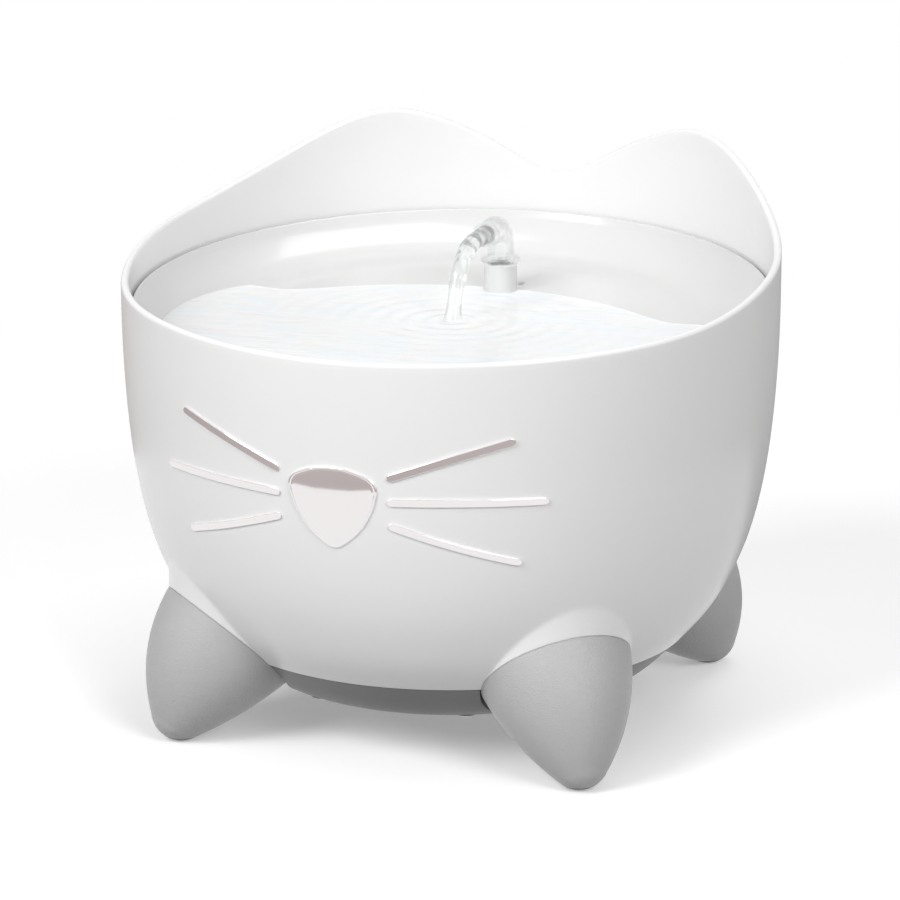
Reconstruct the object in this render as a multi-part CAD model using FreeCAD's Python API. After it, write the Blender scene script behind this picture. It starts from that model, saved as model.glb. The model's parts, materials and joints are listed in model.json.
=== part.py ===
"""Pet water fountain: a round bowl on four tapered legs, with cat ears on its rim,
a nose and whiskers on its front, a lift-off drinking dish and a clear spout.

Millimetres. +Z is up, the face looks along -Y, and the feet stand on z = 0.
"""
import math
import os

import FreeCAD
import Part

V = FreeCAD.Vector
ORIGIN = V(0, 0, 0)
UP = V(0, 0, 1)
BACK = V(0, 1, 0)

# Bowl: outer profile as (radius, height), wall and floor
BOWL_PROFILE = [(85.0, 31.5), (92.4, 40.0), (98.6, 50.0), (103.3, 60.0), (109.2, 80.0),
                (112.4, 100.0), (114.1, 120.0), (115.0, 150.0)]
BOWL_RADIUS = 115.0
BOWL_BOTTOM = 31.5
BOWL_WALL = 2.8
FLOOR_THICKNESS = 3.0
BLANK_TOP = 205.0

# Rim height over the angle from the back, the same on both sides: a dip, an ear, a low front
RIM = [(0, 170.0), (10, 178.0), (20, 187.6), (31, 192.8), (40, 189.8), (50, 182.0),
       (60, 174.5), (75, 166.8), (90, 162.5), (110, 157.0), (140, 154.0), (180, 152.5)]

# Dark base under the bowl, as (radius, height), and the dry space in it
BASE_PROFILE = [(60.0, 15.0), (67.5, 16.8), (75.2, 22.0), (80.4, 27.0), (84.6, 31.2)]
BASE_WALL = 2.4
BASE_BOTTOM = 15.0
COVER_SCREW_RADIUS = 62.0
COVER_SCREW_ANGLES = (65, 115, 245, 295)
BOSS_RADIUS = 4.0
PILOT_RADIUS = 1.3
SCREW_HEAD = (2.9, 2.0)
SCREW_CROSS = (1.6, 0.35)
BOARD_POSTS = [(-17, 22), (17, 22), (-17, 60), (17, 60)]
POCKET_X = 8.0
POCKET_Z = (23.2, 29.8)
POCKET_END = 69.0
VENTS = 7
VENT_PITCH = 5.0
VENT_Y = (-40.0, -16.0)

# Legs: a skewed cone from a tilted circle under the bowl to a round tip
LEG_ANGLES = {"leg_front_right": -45, "leg_rear_right": 45,
              "leg_rear_left": 135, "leg_front_left": 225}
LEG_TOP = (85.0, 36.0)
LEG_TOP_RADIUS = 26.6
LEG_TOP_TILT = 42.0
LEG_TIP = (103.5, 10.15)
LEG_TIP_RADIUS = 10.55
LEG_BALL_RADIUS = 10.45
LEG_TIP_TILT = 17.5
LEG_TOUCH = 39.0
LEG_BULGE = 3.2
LEG_LEAN = -0.15
LEG_SECTIONS = 4
SHOULDER_WALL = 2.6
PAD_HEIGHT = 2.0
PAD_PEG = (2.2, 6.0)
LEG_SCREW_RADIUS = 57.0

# Drinking dish, turned about an axis that leans so that water gathers at the front
DISH_HEIGHT = 149.7
DISH_SLOPE = 0.05
DISH_RADIUS = 111.4
DISH_FLOOR_DROP = 14.5
DISH_FLOOR_CURVE = 2600.0
DISH_FLOOR_RADIUS = 97.0
DISH_WALL = 2.4
LEDGE_DROP = 4.9
DRAIN_ANGLES = (-28, 0, 28)
DRAIN_DISTANCE = 9.0
DRAIN_RADIUS = 1.75

# Pedestal, spout and the riser below it share one upright axis
SPOUT_Y = 51.5
PEDESTAL_RADIUS = 6.0
PEDESTAL_TOP = 148.9
PEDESTAL_BOTTOM = 118.0
SPOUT_RADIUS = 4.9
SPOUT_BORE = 3.3
SPOUT_BEND = 8.0
SPOUT_AXIS_HEIGHT = 162.5
SPOUT_END_Y = 36.0
FLANGE_RADIUS = 7.35
STUB_RADIUS = 3.45
STUB_BOTTOM = 136.2
SEAL_Z = (135.4, 148.6)
SEAL_LIPS = (137.0, 141.0, 145.0)
SEAL_RADIUS = 4.65
RUNNING_GAP = 0.05
RISER_RADIUS = 4.17
RISER_BORE = 3.0
RISER_TOP = 131.5

# Pump, on an axis along Y, and the filter that stands before it
PUMP_Z = 56.8
PUMP_FRONT = 45.0
PUMP_RADIUS = 17.0
CHAMBER_BACK = 55.0
CHAMBER_RADIUS = 13.0
MOTOR_FRONT = 57.0
MOTOR_BACK = 84.0
MOTOR_RADIUS = 15.0
MOTOR_CHAMFER = 2.0
MOTOR_RIBS = (-6, 0, 6)
ROTOR_BORE = 5.2
ROTOR_END = 79.5
OUTLET_TOP = 85.0
OUTLET_RADIUS = 4.5
SHAFT_RADIUS = 1.05
SHAFT_Y = (43.5, 82.0)
BLADES = 6
BLADE_Y = (47.4, 53.0)
BLADE_CURVE = 9.0
BLADE_THICKNESS = 0.9
HUB_RADIUS = 3.0
WHEEL_RADIUS = 11.6
MAGNET_RADIUS = 4.7
SHROUD_X = 26.0
SHROUD_Y = (36.3, 41.3)
SHROUD_Z = (40.2, 71.0)
GRILLE_PITCH = 2.6
GRILLE_SLOT = 1.6
GRILLE_RADIUS = 11.5
GRILLE_HUB = 4.0
SEAT_TOP = 39.6
SEAT_BOTTOM = 38.0
SEAT_X = 33.4
SEAT_FRONT = 19.4
RAIL_INNER_X = 27.4
RAIL_BACK = 36.0
RAIL_TOP = 66.0
SUCTION_PLACES = [(-20, 46), (20, 46), (-20, 72), (20, 72)]
SUCTION_NECK = 2.0
FILTER_X = 30.0
FILTER_Y = (21.9, 34.1)
FILTER_Z = (39.9, 71.0)
FILTER_WALL = 2.0
FILTER_SLOTS = 9
FILTER_PITCH = 5.6
FILTER_SLOT = 3.2
TAB_HEIGHT = 11.0

# Electrics in the dry base: board, inlet and the winding under the bowl's floor
BOARD_X = 20.0
BOARD_Y = (18.0, 66.0)
BOARD_Z = (24.0, 25.6)
BOARD_CHIPS = [(-11, 28, 10, 10, 2.0), (8, 27, 8, 8, 1.6), (14, 50, 6, 10, 2.8), (-10, 54, 7, 5, 1.4)]
INLET_Z = 27.25
INLET_HALF = (4.5, 1.65)
INLET_MOUTH_HALF = (4.1, 1.3)
INLET_Y = (61.5, 69.0)
COIL_RADII = (19.0, 7.0)
COIL_Y = 42.0
COIL_LOW = 29.3

# Face on the front of the bowl
NOSE = [(0.0, 116.4), (12.2, 113.6), (15.0, 111.3), (15.3, 107.0), (11.6, 97.6), (3.2, 89.0), (0.0, 87.7)]
WHISKERS = {"upper": [(20.3, 113.8), (38.8, 120.3), (57.6, 126.3)],
            "middle": [(20.3, 105.2), (43.0, 105.5), (66.4, 105.2)],
            "lower": [(20.3, 96.6), (38.0, 90.5), (57.8, 84.0)]}
WHISKER_WIDTH = 2.6
TRIM_THICKNESS = 0.7


def edge_line(a, b):
    return Part.makeLine(a, b)


def section(points):
    """Closed polygon face in the XZ plane from (radius, height) pairs."""
    vectors = [V(r, 0, z) for r, z in points]
    return Part.Face(Part.makePolygon(vectors + vectors[:1]))


def turned(points, x=0.0, y=0.0):
    """Solid of revolution about an upright axis through (x, y)."""
    solid = section(points).revolve(ORIGIN, UP, 360)
    solid.translate(V(x, y, 0))
    return solid


def tube(x, y, outer, inner, low, high):
    """Upright tube, or a plain cylinder where the inner radius is zero."""
    solid = Part.makeCylinder(outer, high - low, V(x, y, low))
    if inner:
        solid = solid.cut(Part.makeCylinder(inner, high - low + 2, V(x, y, low - 1)))
    return solid


def box(x0, x1, y0, y1, z0, z1):
    return Part.makeBox(x1 - x0, y1 - y0, z1 - z0, V(x0, y0, z0))


def turned_to(shape, angle):
    """Copy of a shape made on the +X side, turned about the bowl's axis."""
    copy = shape.copy()
    copy.rotate(ORIGIN, UP, angle)
    return copy


def offset_curve(points, inward, last_tangent=None):
    """Smooth curve through (radius, height) points, moved sideways by a wall."""
    vectors = [V(r, 0, z) for r, z in points]
    curve = Part.BSplineCurve()
    if last_tangent:
        first = vectors[1].sub(vectors[0]).normalize()
        curve.interpolate(Points=vectors, InitialTangent=first, FinalTangent=last_tangent)
    else:
        curve.interpolate(Points=vectors)
    if not inward:
        return curve
    moved = []
    for vector in vectors:
        along = curve.tangent(curve.parameter(vector))[0]
        moved.append(vector.add(V(-along.z, 0, along.x).multiply(inward)))
    inner = Part.BSplineCurve()
    inner.interpolate(Points=moved)
    return inner


def bowl_blank(inward=0.0, bottom=BOWL_BOTTOM):
    """Solid inside the bowl's outer surface, moved inwards by a wall."""
    curve = offset_curve(BOWL_PROFILE, inward, UP)
    start = curve.StartPoint
    end = curve.EndPoint
    first = V(start.x, 0, start.z)
    if inward > 0 and bottom > start.z:
        cut_at = curve.intersectCC(Part.LineSegment(V(0, 0, bottom), V(200, 0, bottom)))
        first = V(cut_at[0].X, 0, bottom)
        curve.segment(curve.parameter(first), curve.LastParameter)
    side = curve.toShape()
    top = V(end.x, 0, BLANK_TOP)
    edges = [edge_line(V(0, 0, first.z), first), side, edge_line(end, top),
             edge_line(top, V(0, 0, BLANK_TOP)), edge_line(V(0, 0, BLANK_TOP), V(0, 0, first.z))]
    return Part.Face(Part.Wire(edges)).revolve(ORIGIN, UP, 360)


def rim_cutter():
    """Everything above the rim line: a ring that follows the dip and both ears."""
    stations = [(a, z) for a, z in RIM] + [(360 - a, z) for a, z in reversed(RIM[1:-1])]
    knots = [a for a, _ in stations] + [360]
    rings = []
    for radius in (BOWL_RADIUS - 12, BOWL_RADIUS + 12):
        points = [V(radius * math.sin(math.radians(a)), radius * math.cos(math.radians(a)), z)
                  for a, z in stations]
        ring = Part.BSplineCurve()
        ring.interpolate(Points=points, PeriodicFlag=True, Parameters=knots)
        rings.append(ring.toShape())
    surface = Part.makeRuledSurface(rings[0], rings[1])
    return surface.extrude(V(0, 0, 80))


def leg_plane_box(above):
    """Big block on one side of the tilted plane in which the bowl meets a leg."""
    block = Part.makeBox(300, 200, 200, V(-150, -100, 0 if above else -200))
    block.rotate(ORIGIN, V(0, 1, 0), -LEG_TOP_TILT)
    block.translate(V(LEG_TOP[0], 0, LEG_TOP[1]))
    return block


def shoulder_prism(inset=0.0):
    """Upright prism over the leg's tilted top circle."""
    wide = LEG_TOP_RADIUS - inset
    deep = LEG_TOP_RADIUS * math.cos(math.radians(LEG_TOP_TILT)) - inset
    ellipse = Part.Ellipse(V(LEG_TOP[0], wide, 0), V(LEG_TOP[0] + deep, 0, 0), V(LEG_TOP[0], 0, 0))
    face = Part.Face(Part.Wire(ellipse.toShape()))
    return face.extrude(V(0, 0, 72))


def nose_outline():
    """Rounded shield: a crowned top, round corners, and full sides that meet in a soft tip."""
    crown, shoulder, corner, widest, side, low, tip = [V(x, 0, z) for x, z in NOSE]

    def mirrored(point):
        return V(-point.x, 0, point.z)

    edges = [Part.Arc(mirrored(shoulder), crown, shoulder),
             Part.Arc(shoulder, corner, widest),
             Part.Arc(widest, side, low),
             Part.Arc(low, tip, mirrored(low)),
             Part.Arc(mirrored(low), mirrored(side), mirrored(widest)),
             Part.Arc(mirrored(widest), mirrored(corner), mirrored(shoulder))]
    return Part.Face(Part.Wire([edge.toShape() for edge in edges]))


def whisker_outline(points):
    """Slim band with round ends along an arc through three points."""
    a, b, c = [V(-x, 0, z) for x, z in points]
    arc = Part.Arc(a, b, c)
    half = WHISKER_WIDTH / 2
    centre = arc.toShape().Curve.Center

    def beside(point, out):
        ray = point.sub(centre).normalize()
        return point.add(ray.multiply(out))

    def cap(point, inner_point):
        ray = point.sub(centre).normalize()
        along = V(-ray.z, 0, ray.x)
        if along.dot(inner_point.sub(point)) > 0:
            along = along.negative()
        return point.add(along.multiply(half))

    edges = [Part.Arc(beside(a, half), beside(b, half), beside(c, half)).toShape(),
             Part.Arc(beside(c, half), cap(c, b), beside(c, -half)).toShape(),
             Part.Arc(beside(c, -half), beside(b, -half), beside(a, -half)).toShape(),
             Part.Arc(beside(a, -half), cap(a, b), beside(a, half)).toShape()]
    return Part.Face(Part.Wire(edges))


def face_prism(outline):
    """Outline on the front, carried through the front wall of the bowl."""
    prism = outline.extrude(V(0, 90, 0))
    prism.translate(V(0, -150, 0))
    return prism


def face_trims():
    """Nose and six whiskers, thin plated pieces that lie on the bowl's surface."""
    layer = bowl_blank(-TRIM_THICKNESS).cut(bowl_blank())
    trims = {"nose_trim": face_prism(nose_outline()).common(layer)}
    for level, points in WHISKERS.items():
        left = face_prism(whisker_outline(points)).common(layer)
        trims["whisker_left_" + level] = left
        trims["whisker_right_" + level] = left.mirror(ORIGIN, V(1, 0, 0))
    return trims


def tilted(shape):
    """Move a shape from the dish's own frame to its leaning place in the bowl."""
    shape.rotate(ORIGIN, V(1, 0, 0), math.degrees(math.atan(DISH_SLOPE)))
    shape.translate(V(0, 0, DISH_HEIGHT))
    return shape


def outer_shell():
    outer = bowl_blank()
    inner = bowl_blank(BOWL_WALL, BOWL_BOTTOM + FLOOR_THICKNESS)
    above = leg_plane_box(True)
    prism = shoulder_prism().common(above)
    hollow = shoulder_prism(SHOULDER_WALL).common(above)
    mouth = box(40, 80, -18, 18, 10, BOWL_BOTTOM)
    hollow = hollow.fuse(mouth.common(above)).cut(outer)
    body = outer
    hollows = []
    for angle in LEG_ANGLES.values():
        body = body.fuse(turned_to(prism, angle))
        hollows.append(turned_to(hollow, angle))
    body = body.cut(inner).cut(Part.makeCompound(hollows))
    ledge = section([(BOWL_RADIUS - 1.4, -LEDGE_DROP), (DISH_RADIUS - 1.9, -LEDGE_DROP),
                     (BOWL_RADIUS - 1.4, -LEDGE_DROP - 5)])
    body = body.fuse(tilted(ledge.revolve(ORIGIN, UP, 360)))
    body = body.cut(rim_cutter())
    for angle in COVER_SCREW_ANGLES:
        body = body.fuse(turned_to(tube(COVER_SCREW_RADIUS, 0, BOSS_RADIUS, 0, 19, BOWL_BOTTOM + 0.5), angle))
        body = body.cut(turned_to(tube(COVER_SCREW_RADIUS, 0, PILOT_RADIUS, 0, 18, 29.5), angle))
    for angle in LEG_ANGLES.values():
        body = body.fuse(turned_to(tube(LEG_SCREW_RADIUS, 0, BOSS_RADIUS, 0, 26, BOWL_BOTTOM + 0.5), angle))
        body = body.cut(turned_to(tube(LEG_SCREW_RADIUS, 0, PILOT_RADIUS, 0, 25, 30.5), angle))
    return body.removeSplitter()


def base_cover():
    outer = offset_curve(BASE_PROFILE, 0)
    inner = offset_curve(BASE_PROFILE, BASE_WALL)
    low = outer.StartPoint
    high = outer.EndPoint
    low_in = inner.StartPoint
    high_in = inner.EndPoint
    rim_in = V(high_in.x, 0, high.z)
    centre_low = V(0, 0, BASE_BOTTOM)
    centre_high = V(0, 0, low_in.z)
    edges = [edge_line(centre_low, low), outer.toShape(), edge_line(high, rim_in),
             edge_line(rim_in, high_in), inner.toShape(), edge_line(low_in, centre_high),
             edge_line(centre_high, centre_low)]
    body = Part.Face(Part.Wire(edges)).revolve(ORIGIN, UP, 360)
    body = body.cut(box(-100, 100, -100, 100, high.z, high.z + 10))
    envelope = Part.Face(Part.Wire([edge_line(centre_low, low), outer.toShape(),
                                    edge_line(high, V(0, 0, high.z)),
                                    edge_line(V(0, 0, high.z), centre_low)]))
    envelope = envelope.revolve(ORIGIN, UP, 360)
    for angle in COVER_SCREW_ANGLES:
        body = body.fuse(turned_to(tube(COVER_SCREW_RADIUS, 0, 4.6, 0, BASE_BOTTOM + 1, 19), angle))
        body = body.cut(turned_to(tube(COVER_SCREW_RADIUS, 0, 1.7, 0, 10, 20), angle))
        body = body.cut(turned_to(tube(COVER_SCREW_RADIUS, 0, 3.2, 0, 10, BASE_BOTTOM + 2.2), angle))
    for x, y in BOARD_POSTS:
        body = body.fuse(tube(x, y, 2.5, 0, BASE_BOTTOM + 1, BOARD_Z[0]))
    frame = box(-POCKET_X - 2, POCKET_X + 2, POCKET_END - 1.6, 90, 20, high.z).common(envelope)
    body = body.fuse(frame)
    body = body.cut(box(-POCKET_X, POCKET_X, POCKET_END, 95, *POCKET_Z))
    wide, tall = INLET_HALF
    body = body.cut(box(-wide - 0.1, wide + 0.1, 60, 70, INLET_Z - tall, INLET_Z + tall))
    notch = shoulder_prism(-0.2)
    for angle in LEG_ANGLES.values():
        body = body.cut(turned_to(notch, angle))
    for step in range(VENTS):
        x = VENT_PITCH * (step - (VENTS - 1) / 2)
        body = body.cut(box(x - 1.0, x + 1.0, *VENT_Y, 10, 20))
    return body.removeSplitter()


def leg_and_pad():
    """One leg on the +X side with its screw tab, and the rubber pad under its tip."""
    wires = []
    top = V(LEG_TOP[0], 0, LEG_TOP[1])
    tip = V(LEG_TIP[0], 0, LEG_TIP[1])
    along = tip.sub(top).normalize()
    touch = math.radians(LEG_TOUCH)
    last = tip.add(V(along).multiply(LEG_TIP_RADIUS * math.sin(touch)))
    last_radius = LEG_TIP_RADIUS * math.cos(touch)
    for step in range(LEG_SECTIONS + 1):
        s = step / LEG_SECTIONS
        swell = 4 * s * (1 - s)
        centre = top.add(last.sub(top).multiply(s)).add(V(LEG_LEAN * swell, 0, 0))
        radius = LEG_TOP_RADIUS + s * (last_radius - LEG_TOP_RADIUS) + LEG_BULGE * swell
        tilt = math.radians(LEG_TOP_TILT + s * (LEG_TIP_TILT - LEG_TOP_TILT))
        circle = Part.Circle(centre, V(math.sin(tilt), 0, -math.cos(tilt)), radius)
        wires.append(Part.Wire(circle.toShape()))
    body = Part.makeLoft(wires, True)
    body = body.fuse(Part.makeSphere(LEG_BALL_RADIUS, tip))
    body = body.cut(bowl_blank())
    tab = box(51, 74, -6, 6, 22, 26).cut(leg_plane_box(False).common(box(60, 90, -20, 20, 0, 40)))
    tab = tab.cut(tube(LEG_SCREW_RADIUS, 0, 1.6, 0, 20, 30))
    body = body.fuse(tab)
    body = body.cut(box(40, 140, -40, 40, -20, 0))
    below = box(60, 140, -40, 40, -20, PAD_HEIGHT)
    pad = body.common(below)
    body = body.cut(below)
    peg = tube(LEG_TIP[0], 0, PAD_PEG[0], 0, PAD_HEIGHT - 0.5, PAD_PEG[1])
    return body.cut(peg).removeSplitter(), pad.fuse(peg).removeSplitter()


def screw(radius, head_low, length):
    """Pan head below, plain shank above, with a cross recess, at a radius on the +X side."""
    head_radius, head_height = SCREW_HEAD
    long, short = SCREW_CROSS
    neck = head_low + head_height
    body = tube(radius, 0, head_radius, 0, head_low, neck)
    body = body.fuse(tube(radius, 0, PILOT_RADIUS, 0, neck, neck + length))
    body = body.cut(box(radius - long, radius + long, -short, short, head_low - 1, head_low + 1.1))
    return body.cut(box(radius - short, radius + short, -long, long, head_low - 1, head_low + 1.1))


def drinking_dish():
    """Shallow bowl with a parabolic floor, a sloped wall, a rounded lip and the pedestal."""
    def floor_z(radius):
        return -DISH_FLOOR_DROP + radius * radius / DISH_FLOOR_CURVE

    edge = floor_z(DISH_FLOOR_RADIUS)
    lip = DISH_RADIUS - 1.6
    top = Part.BSplineCurve()
    top.interpolate(Points=[V(0, 0, -DISH_FLOOR_DROP), V(50, 0, floor_z(50)),
                            V(82, 0, floor_z(82)), V(DISH_FLOOR_RADIUS, 0, edge),
                            V(104.5, 0, -6.6), V(lip, 0, -0.8)],
                    InitialTangent=V(1, 0, 0), FinalTangent=V(0.5, 0, 0.86))
    under = Part.BSplineCurve()
    under.interpolate(Points=[V(0, 0, -DISH_FLOOR_DROP - DISH_WALL),
                              V(50, 0, floor_z(50) - DISH_WALL),
                              V(82, 0, floor_z(82) - DISH_WALL),
                              V(DISH_FLOOR_RADIUS, 0, edge - DISH_WALL),
                              V(105.6, 0, -9.2), V(lip - 1.3, 0, -4.5)],
                      InitialTangent=V(1, 0, 0))
    corners = [V(lip, 0, -0.8), V(lip + 0.4, 0, -0.15), V(lip + 0.9, 0, 0),
               V(DISH_RADIUS - 0.25, 0, -0.25), V(DISH_RADIUS, 0, -0.8),
               V(DISH_RADIUS, 0, -4.5), V(lip - 1.3, 0, -4.5)]
    edges = [top.toShape()]
    for index in range(len(corners) - 1):
        edges.append(edge_line(corners[index], corners[index + 1]))
    edges.append(under.toShape())
    edges.append(edge_line(V(0, 0, -DISH_FLOOR_DROP - DISH_WALL), V(0, 0, -DISH_FLOOR_DROP)))
    body = tilted(Part.Face(Part.Wire(edges)).revolve(ORIGIN, UP, 360))
    body = body.fuse(tube(0, SPOUT_Y, PEDESTAL_RADIUS, 0, PEDESTAL_BOTTOM, PEDESTAL_TOP))
    body = body.cut(tube(0, SPOUT_Y, RISER_RADIUS + 0.08, 0, PEDESTAL_BOTTOM - 1, RISER_TOP + 0.5))
    body = body.cut(tube(0, SPOUT_Y, RISER_BORE, 0, RISER_TOP, 136))
    body = body.cut(tube(0, SPOUT_Y, SEAL_RADIUS + RUNNING_GAP, 0, 135, PEDESTAL_TOP + 1))
    for angle in DRAIN_ANGLES:
        hole_x = DRAIN_DISTANCE * math.sin(math.radians(angle))
        hole_y = SPOUT_Y + DRAIN_DISTANCE * math.cos(math.radians(angle))
        body = body.cut(tube(hole_x, hole_y, DRAIN_RADIUS, 0, 125, 145))
    return body.removeSplitter()


def spout():
    """Clear elbow with a flange that sits on the pedestal and a stub that plugs into it."""
    def elbow(radius):
        start = V(0, SPOUT_Y, PEDESTAL_TOP + 0.2)
        bend_low = V(0, SPOUT_Y, SPOUT_AXIS_HEIGHT - SPOUT_BEND)
        bend_high = V(0, SPOUT_Y - SPOUT_BEND, SPOUT_AXIS_HEIGHT)
        turn = SPOUT_BEND * (1 - math.sqrt(0.5))
        middle = V(0, SPOUT_Y - turn, SPOUT_AXIS_HEIGHT - turn)
        end = V(0, SPOUT_END_Y, SPOUT_AXIS_HEIGHT)
        path = Part.Wire([edge_line(start, bend_low),
                          Part.Arc(bend_low, middle, bend_high).toShape(),
                          edge_line(bend_high, end)])
        profile = Part.Wire(Part.Circle(start, UP, radius).toShape())
        return path.makePipeShell([profile], True, False)

    body = elbow(SPOUT_RADIUS)
    low = PEDESTAL_TOP + 0.1
    high = PEDESTAL_TOP + 1.9
    collar = [(0, STUB_BOTTOM), (STUB_RADIUS, STUB_BOTTOM), (STUB_RADIUS, low),
              (FLANGE_RADIUS - 0.5, low), (FLANGE_RADIUS, low + 0.5),
              (FLANGE_RADIUS, high - 0.5), (FLANGE_RADIUS - 0.5, high), (0, high)]
    body = body.fuse(turned(collar, 0, SPOUT_Y))
    body = body.cut(elbow(SPOUT_BORE))
    bore = tube(0, SPOUT_Y, STUB_RADIUS - 0.9, 0, STUB_BOTTOM - 1, PEDESTAL_TOP + 1)
    return body.cut(bore).removeSplitter()


def spout_seal():
    """Soft sleeve between the stub and the pedestal's bore, with three lips."""
    inner = STUB_RADIUS + RUNNING_GAP
    between = SEAL_RADIUS - 0.3
    points = [(inner, SEAL_Z[0]), (between, SEAL_Z[0])]
    for low in SEAL_LIPS:
        points += [(between, low), (SEAL_RADIUS, low + 0.6), (between, low + 1.2)]
    points += [(between, SEAL_Z[1]), (inner, SEAL_Z[1])]
    return turned(points, 0, SPOUT_Y)


def riser_tube():
    """Tube from the pump's outlet to the pedestal, with a socket at its foot."""
    inside = OUTLET_RADIUS
    foot = PUMP_Z + PUMP_RADIUS + 0.7
    step = OUTLET_TOP + 1
    points = [(inside, foot), (inside + 1.5, foot), (inside + 1.5, step), (RISER_RADIUS, step + 4),
              (RISER_RADIUS, RISER_TOP), (RISER_BORE, RISER_TOP), (RISER_BORE, step), (inside, step)]
    return turned(points, 0, SPOUT_Y)


def along_y(radius, y0, y1, x=0.0, z=PUMP_Z):
    return Part.makeCylinder(radius, y1 - y0, V(x, y0, z), BACK)


def pump_housing():
    """Round chamber in front, a potted motor with ribs behind it, a foot and the outlet."""
    body = along_y(PUMP_RADIUS, PUMP_FRONT, MOTOR_FRONT)
    body = body.fuse(along_y(MOTOR_RADIUS, MOTOR_FRONT, MOTOR_BACK))
    body = body.makeChamfer(MOTOR_CHAMFER, [e for e in body.Edges if e.BoundBox.YMin > MOTOR_BACK - 0.1])
    body = body.fuse(box(-12, 12, 47, 80, SEAT_TOP, 48))
    body = body.fuse(tube(0, SPOUT_Y, OUTLET_RADIUS, 0, PUMP_Z + 10, OUTLET_TOP))
    wide = MOTOR_RADIUS + 0.6
    for z in MOTOR_RIBS:
        body = body.fuse(box(-wide, wide, 60, 80, PUMP_Z + z - 0.6, PUMP_Z + z + 0.6))
    body = body.cut(along_y(CHAMBER_RADIUS, PUMP_FRONT - 1, CHAMBER_BACK))
    body = body.cut(along_y(ROTOR_BORE, CHAMBER_BACK - 1, ROTOR_END))
    body = body.cut(along_y(SHAFT_RADIUS, ROTOR_END - 1, SHAFT_Y[1]))
    return body.cut(tube(0, SPOUT_Y, RISER_BORE, 0, PUMP_Z + 8, OUTLET_TOP + 1)).removeSplitter()


def pump_cover():
    """Intake grille in a shroud that draws water through the filter only."""
    front, back = SHROUD_Y
    low, high = SHROUD_Z
    body = box(-SHROUD_X, SHROUD_X, front, back, low, high)
    body = body.cut(box(-SHROUD_X + 2, SHROUD_X - 2, front - 1, back - 2, low + 2, high - 2))
    body = body.fuse(along_y(PUMP_RADIUS, back - 0.3, PUMP_FRONT))
    body = body.cut(along_y(CHAMBER_RADIUS, back + 1.3, PUMP_FRONT + 1))
    half = GRILLE_SLOT / 2
    for step in range(-4, 5):
        x = GRILLE_PITCH * step
        reach = math.sqrt(GRILLE_RADIUS ** 2 - x * x)
        slot = box(x - half, x + half, back - 2.3, back + 1.7, PUMP_Z - reach, PUMP_Z + reach)
        if abs(step) < 2:
            slot = slot.cut(box(x - 2, x + 2, back - 3, back + 3, PUMP_Z - GRILLE_HUB, PUMP_Z + GRILLE_HUB))
        body = body.cut(slot)
    body = body.fuse(along_y(HUB_RADIUS, back - 1.7, 46.2))
    return body.cut(along_y(SHAFT_RADIUS, SHAFT_Y[0], PUMP_FRONT + 2)).removeSplitter()


def impeller():
    """Magnet rotor with a hub plate and curved blades in front of it."""
    low, high = BLADE_Y
    body = along_y(MAGNET_RADIUS, high + 1, ROTOR_END - 0.3)
    body = body.fuse(along_y(WHEEL_RADIUS, high, high + 1.4))
    body = body.fuse(along_y(HUB_RADIUS, low - 0.8, high + 1))
    outer = along_y(BLADE_CURVE, low, high, 0, PUMP_Z + BLADE_CURVE)
    inner = along_y(BLADE_CURVE - BLADE_THICKNESS, low - 1, high + 1, 0, PUMP_Z + BLADE_CURVE)
    keep = box(0, 30, low - 1, high + 1, PUMP_Z, PUMP_Z + 30)
    keep = keep.common(along_y(WHEEL_RADIUS, low - 1, high + 1))
    blade = outer.cut(inner).common(keep)
    for index in range(BLADES):
        copy = blade.copy()
        copy.rotate(V(0, 0, PUMP_Z), BACK, index * 360.0 / BLADES)
        body = body.fuse(copy)
    return body.cut(along_y(SHAFT_RADIUS + RUNNING_GAP, low - 2, ROTOR_END + 1)).removeSplitter()


def pump_seat():
    """Plate on suction feet, with two rails that guide the filter cartridge."""
    body = box(-SEAT_X, SEAT_X, SEAT_FRONT, 80, SEAT_BOTTOM, SEAT_TOP)
    body = body.common(tube(0, 0, 80, 0, SEAT_BOTTOM - 5, SEAT_TOP + 5))
    gap = 0.4
    rail = box(RAIL_INNER_X, SEAT_X, SEAT_FRONT, RAIL_BACK, SEAT_BOTTOM, RAIL_TOP)
    rail = rail.cut(box(20, FILTER_X + gap, FILTER_Y[0] - gap, FILTER_Y[1] + gap, SEAT_TOP, RAIL_TOP + 4))
    clip = box(12.0, 14.0, 60, 72, SEAT_BOTTOM, 45)
    for piece in (rail, clip):
        body = body.fuse(piece).fuse(piece.mirror(ORIGIN, V(1, 0, 0)))
    for x, y in SUCTION_PLACES:
        body = body.cut(tube(x, y, SUCTION_NECK, 0, SEAT_BOTTOM - 2, SEAT_TOP + 2))
    return body.removeSplitter()


def suction_feet():
    """Four rubber cups, each with a neck that plugs the seat plate."""
    floor = BOWL_BOTTOM + FLOOR_THICKNESS
    neck = SUCTION_NECK
    points = [(0, floor + 1.2), (4.0, floor + 0.6), (6.0, floor), (6.6, floor),
              (4.2, SEAT_BOTTOM), (neck, SEAT_BOTTOM), (neck, SEAT_TOP), (neck + 0.8, SEAT_TOP),
              (neck + 0.2, SEAT_TOP + 1.2), (0, SEAT_TOP + 1.2)]
    return Part.makeCompound([turned(points, x, y) for x, y in SUCTION_PLACES])


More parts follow.
